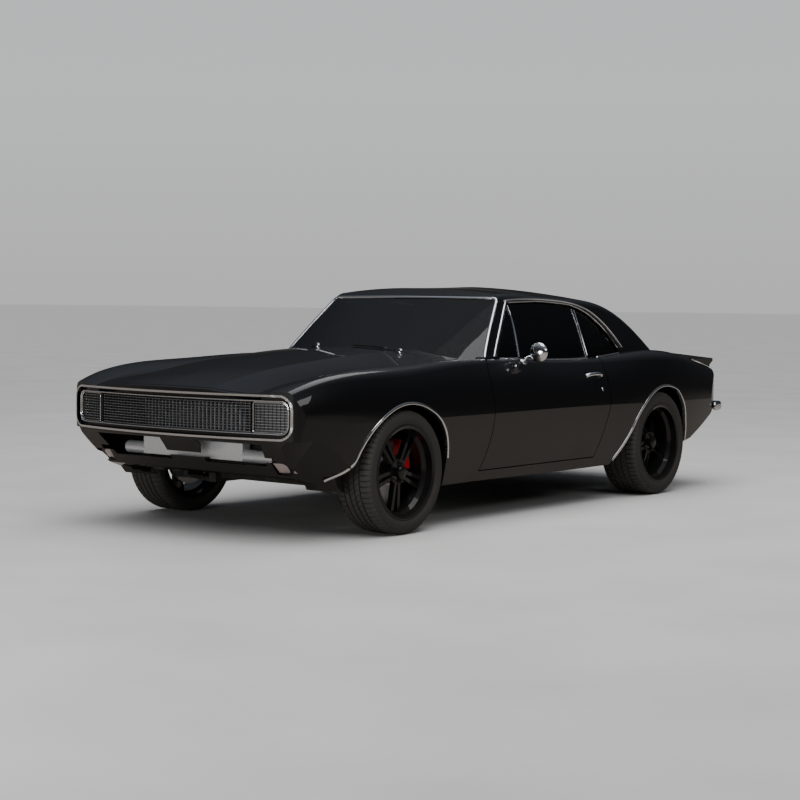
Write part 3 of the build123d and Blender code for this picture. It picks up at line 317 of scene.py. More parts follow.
# Running gear: dusty black frame and axle, cast iron, and dulled pipes.
frame_black = Finish("frame_black")
grime = frame_black.steps(frame_black.noise(frame_black.place(), 0.07, 6, 0.65), 0.35, 0.7)
frame_black.surface(
    Base_Color=frame_black.mix(grime * 0.5, (0.012, 0.012, 0.012), (0.07, 0.06, 0.05)),
    Roughness=grime * 0.35 + 0.45,
)
dress(["floor_pan", "front_subframe", "rear_axle", "fuel_tank", "propshaft"], frame_black.material)
cast = Finish("cast_iron")
cast_grain = cast.noise(cast.place(), 0.003, 4)
cast.surface(
    Base_Color=cast.ramp(cast_grain, [(0.3, (0.03, 0.03, 0.031)), (0.7, (0.07, 0.068, 0.065))]),
    Metallic=0.6,
    Roughness=0.6,
    Normal=cast.bump(cast_grain, 0.0003),
)
dress(["powertrain", "knuckle_left", "knuckle_right", "drum_rear_left", "drum_rear_right"], cast.material)
pipe_metal = Finish("dulled_pipe")
scorch = pipe_metal.noise(pipe_metal.place((1, 0.25, 1)), 0.05, 5)
pipe_metal.surface(
    Base_Color=pipe_metal.ramp(scorch, [(0.3, (0.1, 0.09, 0.08)), (0.7, (0.26, 0.25, 0.24))]),
    Metallic=0.85,
    Roughness=scorch * 0.3 + 0.3,
)
dress(["exhaust"], pipe_metal.material)
bare = Finish("bare_aluminium")
brushed = bare.noise(bare.place((1, 1, 14)), 0.02, 3)
bare.surface(
    Base_Color=bare.ramp(brushed, [(0.3, (0.62, 0.63, 0.65)), (0.7, (0.82, 0.83, 0.84))]), Metallic=0.6,
    Roughness=brushed * 0.2 + 0.22,
)
dress(["intercooler"], bare.material)
enamel = Finish("red_enamel")
enamel_grain = enamel.noise(enamel.place(), 0.002, 3)
enamel.surface(
    Base_Color=(0.55, 0.008, 0.01), Roughness=enamel_grain * 0.1 + 0.25, Coat_Weight=0.6,
    Normal=enamel.bump(enamel_grain, 0.0001, 0.5),
)
dress(["caliper_front_left", "caliper_front_right"], enamel.material)
ground_steel = Finish("ground_steel")
rings = ground_steel.noise(ground_steel.place((0.2, 1, 1)), 0.01, 5)
ground_steel.surface(Base_Color=(0.55, 0.55, 0.56), Metallic=1.0, Roughness=rings * 0.25 + 0.2)
dress(["rotor_front_left", "rotor_front_right"], ground_steel.material)
dress(["rim_front_left", "rim_front_right", "rim_rear_left", "rim_rear_right"], lacquer.material)

# Tyres: black road rubber, a little dusty, rubbed lighter on the rib faces, with painted shade darkening the
# grooves and cuts. Each is a ring turned about its axle, with four grooves round the tread, slanted cuts over
# the ribs, blocks on the shoulders and a plain bulged wall down to the rim.
rubber = Finish("tyre_rubber")
rub = rubber.noise(rubber.place(), 0.025, 6, 0.6)
# Lighter where the rubber is rubbed, darker in the grooves and cuts: wear, and painted shade in the recesses.
worn = rubber.add("ShaderNodeAttribute", {"attribute_name": "worn"}, out="Fac")
rubber.surface(
    Base_Color=rubber.mix(
        worn * 0.45 + rub * 0.3, (0.01, 0.0096, 0.0092), (0.06, 0.055, 0.049)
    ),
    Roughness=rub * 0.15 + 0.68,
    Normal=rubber.bump(rub, 0.0004, 0.5),
)


def grid(rows, columns, close_rows=False, close_columns=True):
    """Faces over points numbered row by row: each joins four neighbours, and a closed side wraps round."""
    row, column = np.meshgrid(
        np.arange(rows if close_rows else rows - 1),
        np.arange(columns if close_columns else columns - 1),
        indexing="ij",
    )
    next_row, next_column = (row + 1) % rows, (column + 1) % columns
    corners = [row * columns + column, row * columns + next_column]
    corners += [next_row * columns + next_column, next_row * columns + column]
    return np.stack(corners, -1).reshape(-1, 4)


def piece(name, points, faces, finish, body, ends=(), sharp=35, values=None):
    """Points in metres and their faces as a new piece: welded, turned outwards, dressed and riding."""
    mesh = bpy.data.meshes.new(name)
    mesh.from_pydata(np.reshape(points, (-1, 3)).tolist(), [], [*np.asarray(faces).tolist(), *ends])
    if values:
        layer = mesh.attributes.new(values[0], "FLOAT", "POINT")
        layer.data.foreach_set("value", np.ravel(values[1]).astype(np.float32))
    shell = bmesh.new()
    shell.from_mesh(mesh)
    bmesh.ops.remove_doubles(shell, verts=shell.verts, dist=0.00002)
    bmesh.ops.recalc_face_normals(shell, faces=shell.faces)
    shell.to_mesh(mesh)
    shell.free()
    mesh.polygons.foreach_set("use_smooth", np.ones(len(mesh.polygons), dtype=bool))
    mesh.set_sharp_from_angle(angle=math.radians(sharp))
    mesh.materials.append(finish.material)
    made = bpy.data.objects.new(name, mesh)
    bpy.context.scene.collection.objects.link(made)
    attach(made, body)
    return made


def axle_of(node):
    """Middle of a wheel's piece and half its width, from its box."""
    low, high = (np.array(corner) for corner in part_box(node))
    return (low + high) / 2, (high[0] - low[0]) / 2


def tyre(end, hand, side):
    """A ring: radius is a profile over the width, less the cuts; the angle is sheared so cuts slant."""
    name = f"tyre_{end}_{hand}"
    middle, half = axle_of(name)
    radius = middle[2]
    tread = half - 0.034
    inner_rib, outer_rib, tread_fall = 0.21, 0.62, 0.0022
    groove_w, groove_d, groove_lip = 0.0045, 0.007, 0.0012
    pitches, steps, wide_cut_d, fine_cut_d = 68, 9, 0.0045, 0.003
    shoulder_slant, centre_slant = 0.16, 0.03
    wall = [
        (half - 0.0155, 0.2435), (half - 0.0155, 0.2545), (half - 0.009, 0.259), (half - 0.0035, 0.268),
        (half - 0.0004, 0.281), (half - 0.0002, 0.296), (half - 0.003, 0.306), (half - 0.0032, 0.3085),
        (half - 0.0062, 0.3105), (half - 0.013, radius - 0.013), (half - 0.022, radius - 0.0055),
    ]
    ribs = tread * np.array([-1, -outer_rib, -inner_rib, inner_rib, outer_rib, 1])
    crown = []
    for start, stop in zip(ribs[:-1], ribs[1:]):
        low = start + (groove_w if start > -tread else 0)
        high = stop - (groove_w if stop < tread else 0)
        on_top = (low, low + groove_lip, (low + high) / 2, high - groove_lip, high)
        crown += [(x, 0.0, 1.0) for x in on_top]
        if stop < tread:
            crown += [(high + groove_lip, groove_d, 0.0), (stop + groove_w - groove_lip, groove_d, 0.0)]
    crown = np.array(crown)
    low_wall = np.array([(-x, r) for x, r in wall])
    high_wall = np.array([(x, r) for x, r in reversed(wall)])
    x = np.concatenate([low_wall[:, 0], crown[:, 0], high_wall[:, 0]])
    fall = tread_fall * (crown[:, 0] / tread) ** 2
    r = np.concatenate([low_wall[:, 1], radius - fall - crown[:, 1], high_wall[:, 1]])
    on_rib = np.concatenate([np.zeros(len(wall)), crown[:, 2], np.zeros(len(wall))])
    shoulder = np.abs(x) > outer_rib * tread
    edge = (np.abs(x) > tread) & (r > radius - 0.016)
    turn = np.arange(pitches * steps)
    cut = (on_rib * shoulder + edge * 0.8) * wide_cut_d * np.isin(turn % steps, (0, 1))[:, None]
    cut = cut + (on_rib * ~shoulder) * fine_cut_d * (turn % steps == 4)[:, None]
    slant = shoulder_slant * np.clip(np.abs(x) / tread, 0.1, outer_rib)
    slant = slant + centre_slant * np.sign(x) * (np.abs(x) < outer_rib * tread)
    angle = turn[:, None] * (2 * math.pi / (pitches * steps)) + slant
    depth = r - cut
    across = middle[0] + side * x + 0 * angle
    points = np.stack([across, middle[1] + depth * np.sin(angle), middle[2] + depth * np.cos(angle)], -1)
    scuffed_wall = 0.25 * (np.abs(x) > half - 0.02)
    # Rib faces and shoulder edges rubbed lighter; cuts set darker and grooves left dark as painted shade.
    rib_wear_and_groove_shade = np.where(cut > 0.001, 0.1, on_rib + edge * 0.6 + scuffed_wall) + 0 * angle
    faces, body = grid(*points.shape[:2], close_rows=True), f"wheel_{end[0]}{hand[0]}"
    made = piece("road_" + name, points, faces, rubber, body, values=("worn", rib_wear_and_groove_shade))
    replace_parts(made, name)


for end in ("front", "rear"):
    tyre(end, "left", 1)
    tyre(end, "right", -1)

# Hubs: a low round cap over each axle's end, in the rim's black, and five domed nuts of dark steel in a
# ring round it. Each is turned from its profile.
def lathe(name, profile, centre, axis, finish, body, slot, rings=48):
    """Profile points (along, out) turned about an axis from a centre; ends that meet the axis are closed."""
    axis = Vector(axis).normalized()
    across = axis.orthogonal().normalized()
    other = np.array(axis.cross(across))
    along, out = np.array(profile).T
    angle = np.arange(rings)[:, None] * (2 * math.pi / rings)
    points = np.array(centre) + along[None, :, None] * np.array(axis)
    points = points + (out * np.cos(angle))[..., None] * np.array(across)
    points = points + (out * np.sin(angle))[..., None] * other
    closed = out[0] > 1e-6 and out[-1] > 1e-6
    faces = grid(rings, len(along), close_rows=True, close_columns=closed)
    return piece(name, points, faces, finish, body)


hub_cap = [
    (-0.01, 0.0), (-0.01, 0.039), (0.002, 0.039), (0.008, 0.037), (0.0125, 0.03), (0.015, 0.018),
    (0.016, 0.0),
]
nut = [
    (-0.006, 0.0), (-0.006, 0.0125), (0.0, 0.013), (0.002, 0.0115), (0.016, 0.0108), (0.021, 0.007),
    (0.022, 0.0),
]
cap_depth = {"front": 0.036, "rear": 0.055}
nut_depth, nut_circle_r, first_nut_degrees = 0.0245, 0.0535, 20
for end, side, wheel in (("front", 1, "fl"), ("front", -1, "fr"), ("rear", 1, "rl"), ("rear", -1, "rr")):
    middle, half = axle_of(f"rim_{end}_{'left' if side > 0 else 'right'}")
    face_x = middle[0] + side * (half - cap_depth[end])
    outward = (side, 0, 0)
    hub = (face_x, middle[1], middle[2])
    lathe(f"hub_cap_{wheel}", hub_cap, hub, outward, lacquer, f"wheel_{wheel}", "rim_paint")
    for i in range(5):
        angle = math.radians(i * 72 + first_nut_degrees)
        nut_y = middle[1] + nut_circle_r * math.sin(angle)
        nut_z = middle[2] + nut_circle_r * math.cos(angle)
        seat = (face_x - side * nut_depth, nut_y, nut_z)
        lathe(f"nut_{wheel}_{i}", nut, seat, outward, cast, f"wheel_{wheel}", "rotor_steel", rings=6)

# Bright trim: thin stainless strips rolled to a low crown. They are clipped along the wheel openings, the
# drip rails, both screens, the vent windows and the belt, and take their line from the panel under them.
def skin_of(*names):
    """Search tree over the faces of some of the car's own pieces."""
    corners, faces = [], []
    for name in names:
        data = nodes[name].data
        place = np.empty(3 * len(data.vertices))
        data.vertices.foreach_get("co", place)
        index = np.empty(len(data.loops), dtype=int)
        data.loops.foreach_get("vertex_index", index)
        faces += (index.reshape(-1, 3) + len(corners)).tolist()
        corners += place.reshape(-1, 3).tolist()
    return BVHTree.FromPolygons(corners, faces)


def evenly(line, step):
    """The same line with its points at even steps along its length."""
    line = np.array(line, float)
    far = np.concatenate([[0], np.cumsum(np.linalg.norm(np.diff(line, axis=0), axis=1))])
    marks = np.linspace(0, far[-1], max(3, round(far[-1] / step) + 1))
    return np.stack([np.interp(marks, far, line[:, k]) for k in range(line.shape[1])], -1)


def curve_through(points, step=0.012):
    """Smooth line through points: on each span a cubic whose slope at a point follows its neighbours."""
    points = np.array(points, float)
    wide = np.vstack([2 * points[0] - points[1], points, 2 * points[-1] - points[-2]])
    t = np.linspace(0, 1, 24, endpoint=False)[:, None]
    spans = [
        0.5 * (2 * b + (c - a) * t + (2 * a - 5 * b + 4 * c - d) * t**2 + (3 * b - a - 3 * c + d) * t**3)
        for a, b, c, d in zip(wide, wide[1:], wide[2:], wide[3:])
    ]
    return evenly(np.vstack([*spans, points[-1:]]), step)


def softened(rows, width=5):
    """Running mean along a line, with its ends held."""
    kernel = np.ones(width) / width
    wide = np.pad(rows, ((width // 2, width // 2), (0, 0)), mode="edge")
    return np.stack([np.convolve(wide[:, k], kernel, mode="valid") for k in range(rows.shape[1])], -1)


def cast_on(line, skin, direction, reach=0.3):
    """Each point slid along a direction onto a skin, with the skin's outward normals there."""
    line = np.array(line, float)
    way = Vector(direction).normalized()
    slide, normals = np.full(len(line), np.nan), np.zeros((len(line), 3))
    for i, point in enumerate(line):
        where, normal, _, _ = skin.ray_cast(Vector(point) - way * reach, way, 2 * reach)
        if where is not None:
            slide[i] = (where - Vector(point)).dot(way)
            normals[i] = normal if normal.dot(way) < 0 else -normal
    met = ~np.isnan(slide)
    index = np.arange(len(line))
    slide = np.interp(index, index[met], slide[met])
    normals = np.stack([np.interp(index, index[met], normals[met, k]) for k in range(3)], -1)
    return line + slide[:, None] * np.array(way), softened(normals)


def nearest_on(line, skin):
    """Each point moved to the nearest place on a skin, with the outward normals there."""
    found = [skin.find_nearest(Vector(point)) for point in line]
    where = np.array([hit[0] for hit in found])
    normals = np.array([hit[1] for hit in found])
    normals *= np.sign((normals * np.array([1, 0, 0.3])).sum(1))[:, None]
    return softened(where, 3), softened(normals, 9)


def facing(line, way):
    """One outward direction, the same at every point of a line."""
    return np.tile(np.array(way, float), (len(line), 1))


def strip(name, line, out, profile, finish, body, slot, closed=False, sharp=50):
    """Profile points (across, out), one set or one at each point, carried along a line."""
    ahead = np.roll(line, -1, 0) - np.roll(line, 1, 0) if closed else np.gradient(line, axis=0)
    ahead /= np.linalg.norm(ahead, axis=1)[:, None]
    out = out - (out * ahead).sum(1)[:, None] * ahead
    out /= np.linalg.norm(out, axis=1)[:, None]
    across = np.cross(ahead, out)
    profile = np.array(profile)
    profile = profile[None] if profile.ndim == 2 else profile
    points = line[:, None] + across[:, None] * profile[..., :1] + out[:, None] * profile[..., 1:]
    rows, columns = points.shape[:2]
    first = list(range(columns))
    ends = [] if closed else [first, [(rows - 1) * columns + i for i in first]]
    return piece(name, points, grid(rows, columns, close_rows=closed), finish, body, ends, sharp)


def bright(name, line, out, profile, closed=False):
    """A chrome strip that is fixed to the body shell."""
    return strip(name, line, out, profile, chrome, "root", "chrome_trim", closed)


mirrored_x = np.array([-1, 1, 1])


def pair(name, line, out, profile, body="root"):
    """A chrome strip on the car's left with its mirror image on the right."""
    strip(name + "_left", line, out, profile, chrome, body, "chrome_trim")
    line, out, profile = line * mirrored_x, out * mirrored_x, profile * np.array([-1, 1])
    strip(name + "_right", line, out, profile, chrome, body.replace("left", "right"), "chrome_trim")


def crown(width, height, sink=0.002):
    """Low crowned section of a rolled strip, from edge to edge, with a flat back let into the panel."""
    t = np.linspace(-1, 1, 7)
    top = np.stack([t * width / 2, height * (1 - t**4)], -1)
    return np.vstack([top, [[width / 2, -sink], [-width / 2, -sink]]])


def slat(width, low, high):
    """Flat four-sided section."""
    return [(-width / 2, low), (-width / 2, high), (width / 2, high), (width / 2, low)]


def round_arc(a, b, c, count=14):
    """Points of the circle's arc from a through b to c."""
    a, b, c = (complex(*p) for p in (a, b, c))
    w = (c - a) / (b - a)
    centre = (b - a) * (w - abs(w) ** 2) / (2j * w.imag) + a
    start, turn = np.angle(a - centre), np.angle((c - centre) / (a - centre))
    middle = np.angle((b - centre) / (a - centre))
    if (turn > 0) != (middle > 0):
        turn -= math.copysign(2 * math.pi, turn)
    points = centre + abs(a - centre) * np.exp(1j * (start + np.linspace(0, turn, count)))
    return np.stack([points.real, points.imag], -1)


arch_lip = np.array([
    (0.0015, -0.02), (0.0022, 0.0), (0.001, 0.004), (-0.003, 0.0055), (-0.009, 0.0052), (-0.0135, 0.003),
    (-0.0145, -0.002), (0.0, -0.003), (0.0003, -0.02),
])
front_arch = [
    ((-1.985, 0.3), (-1.885, 0.35), (-1.792, 0.466)), ((-1.792, 0.466), (-1.695, 0.582), (-1.55, 0.67)),
    ((-1.55, 0.67), (-1.385, 0.698), (-1.225, 0.656)), ((-1.225, 0.656), (-1.098, 0.548), (-1.046, 0.389)),
]
rear_arch = [
    ((0.735, 0.222), (0.859, 0.319), (0.98, 0.461)), ((0.98, 0.461), (1.066, 0.575), (1.187, 0.663)),
    ((1.187, 0.663), (1.372, 0.711), (1.53, 0.68)), ((1.53, 0.68), (1.608, 0.588), (1.654, 0.47)),
    ((1.654, 0.47), (1.678, 0.39), (1.683, 0.335)),
]
side_x = 0.9
arch_inset, arch_foot_proud, arch_foot_points = 0.009, 0.004, 16
side_skin = skin_of("fender_left", "front_valance", "door_left", "quarter_left", "rocker_left")
for arch_name, arcs in (("front", front_arch), ("rear", rear_arch)):
    edge = np.vstack([round_arc(*arc)[:-1] for arc in arcs] + [[arcs[-1][2]]])[2:]
    edge = evenly(edge, 0.012)
    flat = np.column_stack([np.full(len(edge), side_x), edge])
    ahead = np.gradient(flat, axis=0)
    ahead /= np.linalg.norm(ahead, axis=1)[:, None]
    away = np.cross((1, 0, 0), ahead)
    on_skin, out = cast_on(flat + away * arch_inset, side_skin, (-1, 0, 0))
    proud = arch_foot_proud * np.clip(1 - np.arange(len(edge)) / arch_foot_points, 0, 1)[:, None]
    proud = proud * (arch_name == "front")
    line = np.column_stack([softened(on_skin[:, :1], 7) + proud, edge])
    pair(f"arch_trim_{arch_name}", line, softened(out, 9), arch_lip)

# The drip rail and the side window's frame follow the roof's edge; a wider strip covers the front pillar.
roof_skin = skin_of("roof")
drip = curve_through([
    (0.634, -0.15, 1.262), (0.629, 0.02, 1.27), (0.627, 0.2, 1.272), (0.63, 0.4, 1.267), (0.64, 0.6, 1.251),
    (0.656, 0.79, 1.205), (0.683, 0.93, 1.125), (0.712, 1.02, 1.043), (0.738, 1.085, 0.965),
])
window_edge = curve_through([
    (0.635, -0.105, 1.25), (0.634, 0.1, 1.257), (0.634, 0.25, 1.26), (0.637, 0.42, 1.252),
    (0.645, 0.6, 1.238), (0.662, 0.76, 1.19), (0.688, 0.89, 1.112), (0.713, 0.975, 1.033),
    (0.735, 1.033, 0.965),
])
pillar = curve_through([
    (0.634, -0.114, 1.258), (0.667, -0.196, 1.168), (0.7, -0.278, 1.077), (0.732, -0.356, 0.992),
    (0.757, -0.412, 0.927),
])
pair("drip_rail", *nearest_on(drip, roof_skin), crown(0.012, 0.009))
pair("window_trim", *nearest_on(window_edge, roof_skin), crown(0.009, 0.004))
pair("pillar_trim", *nearest_on(pillar, roof_skin), crown(0.019, 0.006))

# Windshield and rear glass each have a bright frame with rounded corners, one half drawn and mirrored.
screen_skin = skin_of("roof", "windshield")
screen_low, screen_high = (0.757, 0.925), (0.622, 1.272)
corner_cut, screen_ahead_y = 0.024, -0.6
half_frame = [
    screen_low, (0.69, 1.097),
    (screen_high[0] + corner_cut * 0.36, screen_high[1] - corner_cut),
    (screen_high[0] - corner_cut * 0.25, screen_high[1] - 0.002),
    (screen_high[0] - corner_cut * 1.6, screen_high[1] + 0.001),
    (0.3, screen_high[1] + 0.004), (0.0, screen_high[1] + 0.006),
]
half_line = curve_through([(x, screen_ahead_y, z) for x, z in half_frame], 0.01)
frame_line = np.vstack([half_line, half_line[-2::-1] * mirrored_x])
on_glass, frame_out = cast_on(frame_line, screen_skin, (0, 1, 0), 1.2)
bright("windshield_frame", softened(on_glass, 5), softened(frame_out, 9), crown(0.019, 0.005, 0.004))
rear_frame = [
    (0.0, 1.022), (0.3, 1.034), (0.48, 1.057), (0.508, 1.072), (0.515, 1.1), (0.545, 1.35), (0.572, 1.578),
    (0.568, 1.598), (0.545, 1.603), (0.3, 1.615), (0.0, 1.622),
]
rear_skin = skin_of("roof", "rear_shelf", "rear_glass", "decklid")
half_line = curve_through([(x, y, 1.1) for x, y in rear_frame], 0.012)
frame_line = np.vstack([half_line, half_line[-2:0:-1] * mirrored_x])
on_glass, frame_out = cast_on(frame_line, rear_skin, (0, 0, -1), 0.5)
rear_section = crown(0.014, 0.005, 0.004)
bright("rear_glass_frame", softened(on_glass, 3), softened(frame_out, 7), rear_section, closed=True)

# Vent window posts and the belt strips under the side glass go with the doors; the short strip and the
# post at the quarter glass stay on the body.
glass_skin = skin_of("door_glass_left", "quarter_glass_left")
vent_post = curve_through([
    (0.641, -0.093, 1.24), (0.673, -0.088, 1.157), (0.711, -0.1, 1.056), (0.756, -0.127, 0.926),
])
glass_rear = curve_through([
    (0.652, 0.614, 1.222), (0.69, 0.619, 1.112), (0.729, 0.619, 1.005), (0.762, 0.616, 0.91),
])
quarter_front = curve_through([
    (0.655, 0.641, 1.218), (0.692, 0.642, 1.108), (0.73, 0.642, 1.003), (0.762, 0.641, 0.912),
])
pair("vent_post", *nearest_on(vent_post, glass_skin), crown(0.014, 0.007), "door_left")
pair("glass_edge", *nearest_on(glass_rear, glass_skin), crown(0.008, 0.004), "door_left")
pair("quarter_post", *nearest_on(quarter_front, glass_skin), crown(0.012, 0.005))
belt_skin = skin_of("door_left", "quarter_left")
belt_plan_y = [-0.39, -0.14, 0.4, 0.62, 0.77, 1.02]
belt_plan_x = [0.764, 0.765, 0.769, 0.775, 0.77, 0.753]
for belt_name, start, stop, body in (("door", -0.39, 0.612, "door_left"), ("quarter", 0.65, 1.02, "root")):
    belt_y = np.linspace(start, stop, 60)
    belt_x = np.interp(belt_y, belt_plan_y, belt_plan_x)
    seat, out = cast_on(np.column_stack([belt_x, belt_y, np.full(60, 0.95)]), belt_skin, (0, 0, -1))
    out = out * np.array([0.4, 1, 1]) + np.array([0.5, 0, 0])
    pair("belt_" + belt_name, softened(seat, 9), softened(out, 9), crown(0.013, 0.006), body)

# Nose trim: a second bright ring inside the mouth's black band, fine pale rungs behind the grille's bars,
# and a bright frame with rungs of its own on each lamp door.
nose_y = cad_box[0][1]
mouth_low, mouth_high, mouth_half, mouth_round = 0.548, 0.758, 0.785, 0.062
nose_fall, nose_reach = 0.139, 0.9


def nose_line(outline, back):
    """Points (x, z) set back from the nose: its face falls away as the square of x."""
    outline = np.array(outline)
    y = nose_y + back + nose_fall * (outline[:, 0] / nose_reach) ** 2
    return np.column_stack([outline[:, 0], y, outline[:, 1]])


def round_box(x0, x1, z0, z1, radii, step=0.01):
    """Closed outline of a box with its own radius at each corner, from the low left one round."""
    corners = [(x0, z0), (x1, z0), (x1, z1), (x0, z1)]
    towards = [(1, 1), (-1, 1), (-1, -1), (1, -1)]
    points = []
    for (x, z), (sx, sz), radius, turn in zip(corners, towards, radii, (180, 270, 0, 90)):
        angle = np.radians(turn + np.linspace(0, 90, 9))
        corner_x = x + sx * radius + radius * np.cos(angle)
        corner_z = z + sz * radius + radius * np.sin(angle)
        points.append(np.column_stack([corner_x, corner_z]))
    points = np.vstack(points)
    return evenly(np.vstack([points, points[:1]]), step)[:-1]


fine_grey = Finish("pale_rung")
rung_wear = fine_grey.noise(fine_grey.place(), 0.02, 4)
fine_grey.surface(
    Base_Color=fine_grey.ramp(rung_wear, [(0.3, (0.16, 0.165, 0.175)), (0.7, (0.25, 0.255, 0.265))]),
    Metallic=0.5,
    Roughness=rung_wear * 0.2 + 0.3,
)
forward = (0, -1, 0)
ring_in, ring_back = 0.0215, 0.029
rung_pitch, rung_thick, rung_back, rung_reach = 0.0142, 0.0022, 0.0385, 0.54
ring_half, ring_round = mouth_half - ring_in, mouth_round - ring_in
ring = round_box(-ring_half, ring_half, mouth_low + ring_in, mouth_high - ring_in, [ring_round] * 4, 0.012)
ring_line = nose_line(ring, ring_back)
bright("mouth_ring", ring_line, facing(ring_line, forward), crown(0.0085, 0.006), closed=True)


def rung(name, x0, x1, z, back, points, section):
    """A level fine bar across the nose between two x."""
    line = nose_line(np.column_stack([np.linspace(x0, x1, points), np.full(points, z)]), back)
    strip(name, line, facing(line, forward), section, fine_grey, "root", "black_trim")


for i in range(11):
    z = mouth_low + 0.031 + i * rung_pitch
    rung(f"rung_{i}", -rung_reach, rung_reach, z, rung_back, 60, slat(rung_thick, -0.004, 0.0))
lamp_inner, lamp_outer, lamp_inset, lamp_back = 0.561, 0.757, 0.029, 0.033
sharp_r, wide_r = 0.006, 0.038
for side, hand in ((1, "left"), (-1, "right")):
    x0, x1 = (lamp_inner, lamp_outer) if side > 0 else (-lamp_outer, -lamp_inner)
    radii = [sharp_r, wide_r, wide_r, sharp_r] if side > 0 else [wide_r, sharp_r, sharp_r, wide_r]
    outline = round_box(x0, x1, mouth_low + lamp_inset, mouth_high - lamp_inset, radii)
    frame_line = nose_line(outline, lamp_back)
    bright(f"lamp_frame_{hand}", frame_line, facing(frame_line, forward), crown(0.005, 0.004), closed=True)
    for i in range(10):
        z = mouth_low + 0.04 + i * rung_pitch
        rung(f"lamp_rung_{hand}_{i}", x0 + sharp_r, x1 - sharp_r, z, 0.0375, 14, slat(0.0024, -0.003, 0.0))

# Turn signals: smoky lenses with a soft crown, in the pockets at the ends of the cooling openings. Each is
# a front and a back sheet over four corners, joined by a skirt.
smoky = Finish("smoky_lens")
smoky_ribs = smoky.add(
    "ShaderNodeTexWave", {"wave_type": "BANDS", "bands_direction": "X"},
    {"Vector": smoky.place(), "Scale": 60.0}, out="Fac",
)
smoky.surface(
    Base_Color=smoky.mix(smoky_ribs, (0.2, 0.16, 0.15), (0.3, 0.24, 0.22)), Roughness=0.12, Coat_Weight=1.0,
    Normal=smoky.bump(smoky_ribs, 0.0006, 0.4),
)
lens_corners = np.array([(0.5985, 0.4135), (0.6925, 0.4135), (0.6975, 0.3605), (0.6065, 0.3605)])
lens_rise, lens_sunk, lens_thick, lens_sweep = 0.006, 0.012, 0.014, 0.03
slope_foot_y, slope_foot_z, slope_rise, slope_run = -2.105, 0.338, 0.19, 0.157
u, v = np.meshgrid(np.linspace(0, 1, 17), np.linspace(0, 1, 11))
rows, columns = u.shape
top = lens_corners[0] + (lens_corners[1] - lens_corners[0]) * u[..., None]
low = lens_corners[3] + (lens_corners[2] - lens_corners[3]) * u[..., None]
flat = top + (low - top) * v[..., None]
lens_y = slope_foot_y - (flat[..., 1] - slope_foot_z) / slope_rise * slope_run + lens_sunk
lens_y = lens_y + np.clip((flat[..., 0] - 0.6) / 0.1, 0, 1) * lens_sweep
rise = lens_rise * (1 - (2 * u - 1) ** 6) * (1 - (2 * v - 1) ** 6)
sheet = grid(rows, columns, close_columns=False)
border = list(range(columns)) + [i * columns + columns - 1 for i in range(1, rows)]
border += [(rows - 1) * columns + i for i in range(columns - 2, -1, -1)]
border += [i * columns for i in range(rows - 2, 0, -1)]
skirt = [(a, b, b + rows * columns, a + rows * columns) for a, b in zip(border, border[1:] + border[:1])]
for side, hand in ((1, "left"), (-1, "right")):
    front = np.stack([side * flat[..., 0], lens_y - rise, flat[..., 1] - 0.6 * rise], -1)
    both = np.stack([front, front + np.array([0, lens_thick, 0])])
    faces = np.vstack([sheet, sheet + rows * columns, skirt])
    piece(f"turn_signal_{hand}", both, faces, smoky, "root")

# Door handles: a slim bright pull on two feet with a push button at its rear end, and a lock below it.
door_skin = skin_of("door_left")
handle_marks = [(0.452, 0.8), (0.48, 0.803), (0.54, 0.8045), (0.6, 0.803), (0.628, 0.799)]
handle_line = curve_through([(side_x, y, z) for y, z in handle_marks], 0.006)
pull_half_width, pull_half_depth, foot_lift, pull_lift = 0.0105, 0.006, 0.004, 0.024
on_door, handle_out = cast_on(handle_line, door_skin, (-1, 0, 0))
handle_out = softened(handle_out, 9)
along = np.linspace(0, 1, len(on_door))[:, None]
lifted = on_door + handle_out * (foot_lift + pull_lift * (np.sin(math.pi * along) ** 0.5))
ring_angle = np.linspace(0, 2 * math.pi, 12, endpoint=False)
pull = np.column_stack([pull_half_width * np.cos(ring_angle), pull_half_depth * np.sin(ring_angle)])
pair("handle", lifted, handle_out, pull, "door_left")
button = [(-0.01, 0.0), (-0.01, 0.0115), (0.012, 0.0115), (0.0145, 0.009), (0.016, 0.0)]
lock = [(-0.01, 0.0), (-0.01, 0.0115), (0.001, 0.0115), (0.003, 0.0095), (0.002, 0.003), (0.0005, 0.0)]
for side, hand in ((1, "left"), (-1, "right")):
    flip = np.array([side, 1, 1])
    for kind, y, z, profile in (("button", 0.613, 0.8, button), ("lock", 0.606, 0.716, lock)):
        spot, way = cast_on([(side_x, y, z)] * 3, door_skin, (-1, 0, 0))
        body = f"door_{hand}"
        lathe(f"{kind}_{hand}", profile, spot[0] * flip, way[0] * flip, chrome, body, "chrome_trim", rings=24)

# Door mirrors: a round domed head of pressed steel, chromed, on a bent arm that stands on an oval foot.
mirror_centre, mirror_r = np.array([0.8925, -0.139, 0.957]), 0.059
mirror_toe_out, foot_y, foot_stretch = 0.12, -0.168, 1.5
dome = [
    (0.0, 0.0), (0.0, mirror_r - 0.006), (0.001, mirror_r - 0.002), (0.006, mirror_r),
    (0.013, mirror_r - 0.0015), (0.02, mirror_r - 0.007), (0.026, mirror_r - 0.019),
    (0.03, mirror_r - 0.033), (0.0315, 0.0),
]
mirror_foot = [(-0.004, 0.0), (-0.004, 0.021), (0.002, 0.021), (0.007, 0.014), (0.009, 0.0)]
arm_line = curve_through([
    (0.805, -0.168, 0.893), (0.812, -0.166, 0.918), (0.832, -0.16, 0.932), (0.862, -0.152, 0.938),
    (0.884, -0.148, 0.944),
], 0.006)
arm_section = np.column_stack([0.0075 * np.cos(ring_angle), 0.0055 * np.sin(ring_angle)])
on_top, top_out = cast_on([(0.806, foot_y, 1.0)] * 3, door_skin, (0, 0, -1))
